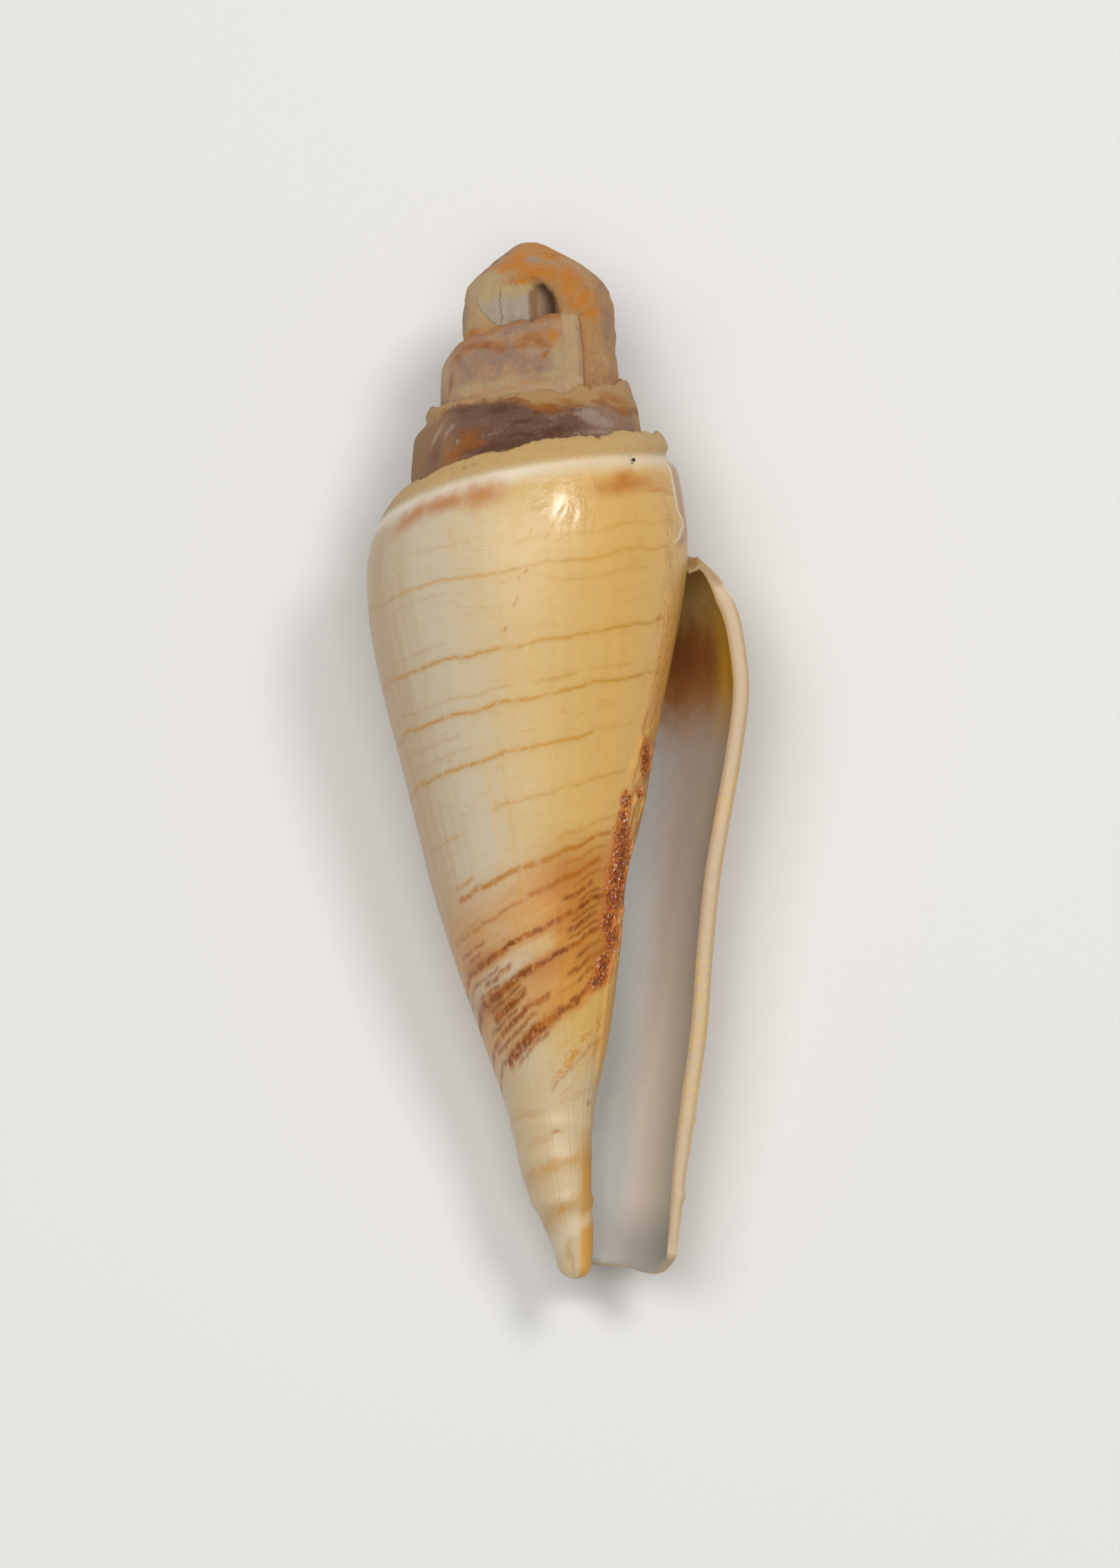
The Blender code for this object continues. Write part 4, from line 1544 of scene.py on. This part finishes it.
@dataclass(frozen=True)
class Aperture:
    """Colours inside the shell: bluish white, a brown stain high up, and a creamy lip."""

    deep: Colour = paint(236, 242, 244)
    shallow: Colour = paint(186, 192, 190)
    middle: Colour = paint(214, 200, 188)
    near: Colour = paint(216, 204, 186)
    end: Colour = paint(156, 156, 152)
    lip: Colour = paint(186, 158, 120)
    streak: Colour = paint(200, 164, 92)
    top: Colour = paint(252, 212, 120)
    olive: Colour = paint(250, 190, 24)
    olive_dark: Colour = paint(206, 140, 44)
    stain: Colour = paint(172, 82, 4)

    def colour(self, probe: Probe, outside: bpy.types.NodeSocket) -> bpy.types.NodeSocket:
        """White deep inside and creamy by the lip, brown high up, with yellow streaks on the lip.

        Args:
            probe: What the finish reads from the surface.
            outside: The colour of the outside.

        Returns:
            The colour of the whole shell.
        """
        bench, turn = probe.bench, probe.direction + FULL_TURN
        inside = bench.mix(bench.step(turn, 104, 122), self.near, self.middle)
        deep = bench.mix(bench.step(probe.height, 44, 60), self.deep, self.shallow)
        inside = bench.mix(bench.step(turn + probe.patchy * 6, 124, 146), inside, deep)
        inside = bench.mix(bench.step(probe.height, 64, 68.5), inside, self.end)
        height = probe.height + probe.patchy * 3
        olive = bench.mix(bench.step(turn, 100, 118), self.olive, self.olive_dark)
        olive = bench.mix(bench.step(height, 27.5, 24), olive, self.top)
        inside = bench.mix(bench.step(height, 35.5, 29.5), inside, olive)
        stain = bench.band(height, 26.5, 30.5, 5.0) * bench.step(turn, 101, 116)
        inside = bench.mix(stain * 0.95, inside, self.stain)
        colour = bench.mix(bench.step(probe.inner, 0.8, 1.0), outside, inside)
        yellow = bench.band(probe.height, 36.8, 40.5, 1.5) + bench.band(probe.height, 49, 60, 5.0)
        yellow = yellow * bench.step(probe.fine + probe.patchy, -0.1, 0.1)
        lip = bench.mix(yellow * 0.7, self.lip, self.streak)
        return bench.mix(bench.band(probe.inner, 0.08, 0.98, 0.12) * 0.9, colour, lip)


@dataclass(frozen=True)
class Blot:
    """One kind of blot: its name among the markings, colour, softness of edge, raggedness and strength."""

    title: str
    colour: Colour
    edge: float
    ragged: float
    strength: float


@dataclass(frozen=True)
class ShellFinish:
    """The shell's only finish: worn and chalky on the spire, glossy on the last whorl, porcelain inside."""

    blots: tuple[Blot, ...] = (
        Blot("haze", paint(178, 104, 36), 0.5, 0.5, 0.55),
        Blot("cream", paint(218, 190, 140), 0.4, 0.6, 0.75),
        Blot("lilac", paint(166, 136, 120), 0.45, 0.7, 0.55),
        Blot("umber", paint(108, 68, 46), 0.35, 0.8, 0.8),
        Blot("mauve", paint(140, 98, 76), 0.4, 0.4, 0.8),
        Blot("orange", paint(230, 142, 30), 0.4, 1.1, 0.9),
        Blot("rust", paint(184, 104, 20), 0.55, 0.5, 0.8),
        Blot("chalk", paint(192, 168, 148), 0.3, 0.6, 0.75),
        Blot("scratch", paint(184, 118, 34), 0.3, 0.15, 0.7),
        Blot("fleck", paint(176, 112, 40), 0.25, 0.2, 0.6),
        # Painted shadow in the two small holes of the shoulder.
        Blot("pit_shadow", paint(44, 30, 18), 0.05, 0.2, 1.0),
    )

    def make(self) -> bpy.types.Material:
        """Builds the material: colours by region, blots, lines, callus and aperture, gloss and relief.

        Returns:
            The material.
        """
        bench = Bench("shell")
        probe = Probe.on(bench)
        body = LastWhorl()
        colour = Spire().colour(probe, body.colour(probe))
        for blot in self.blots:
            share = probe.blot(blot.title, blot.edge, blot.ragged) * blot.strength
            colour = bench.mix(share, colour, blot.colour)
        colour = body.crusted(probe, body.creased(probe, body.lined(probe, colour)))
        colour = Aperture().colour(probe, colour)
        worn = bench.step(probe.direction, 84, 90) * (1 - probe.inner)
        calm = bench.step(probe.height, 60, 46)
        # Tone varies along streaks and at random. Past direction 90 on the outside, on the spire and the back
        # of the last whorl, the colour is painted 38% lighter: a painted brightening that makes up for the
        # shade their strong bump relief casts.
        value = 1 + probe.streaks * calm * 0.10 + probe.fine * 0.10 + worn * 0.38
        light = bench.node("ShaderNodeHueSaturation", None, {"Color": colour, "Value": value})
        collar = bench.step(probe.below, 2.0, 1.2) * (1 - probe.inner) * (1 - worn)
        gloss = bench.step(bench.read("gloss") + probe.patchy * 0.8, 0.35, 0.95)
        roughness = 0.32 + worn * 0.3 + collar * 0.16 + probe.patchy * 0.14 - gloss * 0.14
        grain = bench.noise(probe.place, 2.8, 7.0, 0.78)
        ripples = bench.noise(bench.join(probe.direction / 4.0, probe.height / 1.6), 1.0, 3.0, 0.6)
        heights = grain * (0.03 + worn * 0.97 + collar * 0.3) + bench.read("crust") * probe.fine * 0.4
        relief = {"Height": heights + ripples * gloss * 0.22, "Strength": 0.9, "Distance": 0.0008}
        sockets = {
            "Base Color": light.outputs[0],
            "Roughness": roughness,
            "Coat Weight": gloss * 0.6,
            "Coat Roughness": 0.17,
            "Normal": bench.node("ShaderNodeBump", None, relief).outputs[0],
        }
        surface = bench.node("ShaderNodeBsdfPrincipled", None, sockets)
        bench.node("ShaderNodeOutputMaterial", None, {"Surface": surface.outputs[0]})
        return bench.material


class LightPlace(Enum):
    """Where each soft light stands: its direction from the shell, distance, size and power."""

    KEY = ((0.36, 0.25, 0.90), 0.6, 0.14, 1.2)
    OVERHEAD = ((0.0, -0.12, 1.0), 0.9, 0.42, 2.7)
    LEFT = ((-0.27, 0.10, 0.96), 0.7, 0.3, 1.4)


@dataclass
class Studio:
    """A pale floor, soft lights, and a camera that looks down on the shell as the photographer's did."""

    pixels: tuple[int, int] = (1624, 2273)
    pixels_per_mm: float = 21.5
    distance: float = 600.0
    tilt: float = 8.5
    roll: float = 2.7
    axis_point: tuple[float, float, float] = (-0.753, 0.050, 11.604)
    offset: tuple[float, float] = (0.535, -1.744)
    floor_size: float = 1.6
    floor_colour: Colour = paint(228, 226, 222)
    floor_roughness: float = 0.8
    world_colour: Colour = paint(232, 236, 240)
    world_strength: float = 0.2

    def camera(self) -> None:
        """Aims the camera: tilted back from straight down about X, then rolled about its line of sight."""
        tilt, roll = math.radians(self.tilt), math.radians(self.roll)
        back = Vector((0, -math.sin(tilt), math.cos(tilt)))
        level, raised = Vector((1, 0, 0)), Vector((0, math.cos(tilt), math.sin(tilt)))
        right = level * math.cos(roll) - raised * math.sin(roll)
        up = level * math.sin(roll) + raised * math.cos(roll)
        aim = Vector(self.axis_point) + right * self.offset[0] + up * self.offset[1]
        lens = bpy.data.cameras.new("camera")
        lens.sensor_fit = "VERTICAL"
        lens.angle_y = 2 * math.atan(self.pixels[1] / self.pixels_per_mm / 2 / self.distance)
        lens.clip_start = 0.05
        camera = bpy.data.objects.new("camera", lens)
        turn = Matrix((right, up, back)).transposed().to_4x4()
        camera.matrix_world = Matrix.Translation((aim + back * self.distance) * MILLIMETRE) @ turn
        bpy.context.scene.collection.objects.link(camera)
        bpy.context.scene.camera = camera

    def lights(self) -> None:
        """Puts each square light at its place, facing the shell."""
        for light in LightPlace:
            way, distance, size, power = light.value
            way = Vector(way).normalized()
            lamp = bpy.data.lights.new(light.name.lower(), "AREA")
            lamp.size, lamp.energy = size, power
            holder = bpy.data.objects.new(light.name.lower(), lamp)
            turn = way.to_track_quat("Z", "Y").to_matrix().to_4x4()
            holder.matrix_world = Matrix.Translation(way * distance) @ turn
            bpy.context.scene.collection.objects.link(holder)

    def floor(self) -> None:
        """Lays a pale floor under the shell, and a soft grey-white sky round it."""
        half = self.floor_size / 2
        mesh = bpy.data.meshes.new("floor")
        corners = [(-half, -half, 0), (half, -half, 0), (half, half, 0), (-half, half, 0)]
        mesh.from_pydata(corners, [], [(0, 1, 2, 3)])
        bench = Bench("floor")
        sockets = {"Base Color": self.floor_colour, "Roughness": self.floor_roughness}
        surface = bench.node("ShaderNodeBsdfPrincipled", None, sockets)
        bench.node("ShaderNodeOutputMaterial", None, {"Surface": surface.outputs[0]})
        mesh.materials.append(bench.material)
        floor = bpy.data.objects.new("floor", mesh)
        bpy.context.scene.collection.objects.link(floor)
        world = bpy.data.worlds.new("studio")
        world.use_nodes = True
        sky = world.node_tree.nodes["Background"]
        sky.inputs["Color"].default_value = self.world_colour
        sky.inputs["Strength"].default_value = self.world_strength
        bpy.context.scene.world = world

    def set_up(self) -> None:
        """Puts everything round the shell in place."""
        self.floor()
        self.lights()
        self.camera()
        bpy.context.scene.view_settings.view_transform = "Standard"


def main() -> None:
    """Builds the shell and the studio."""
    logging.basicConfig(level=logging.INFO, format="%(message)s")
    shell = ShellMesh().build("shell_surface")
    shell.data.materials.append(ShellFinish().make())
    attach(shell, "root")
    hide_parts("shell")
    Studio().set_up()


if __name__ == "__main__":
    main()
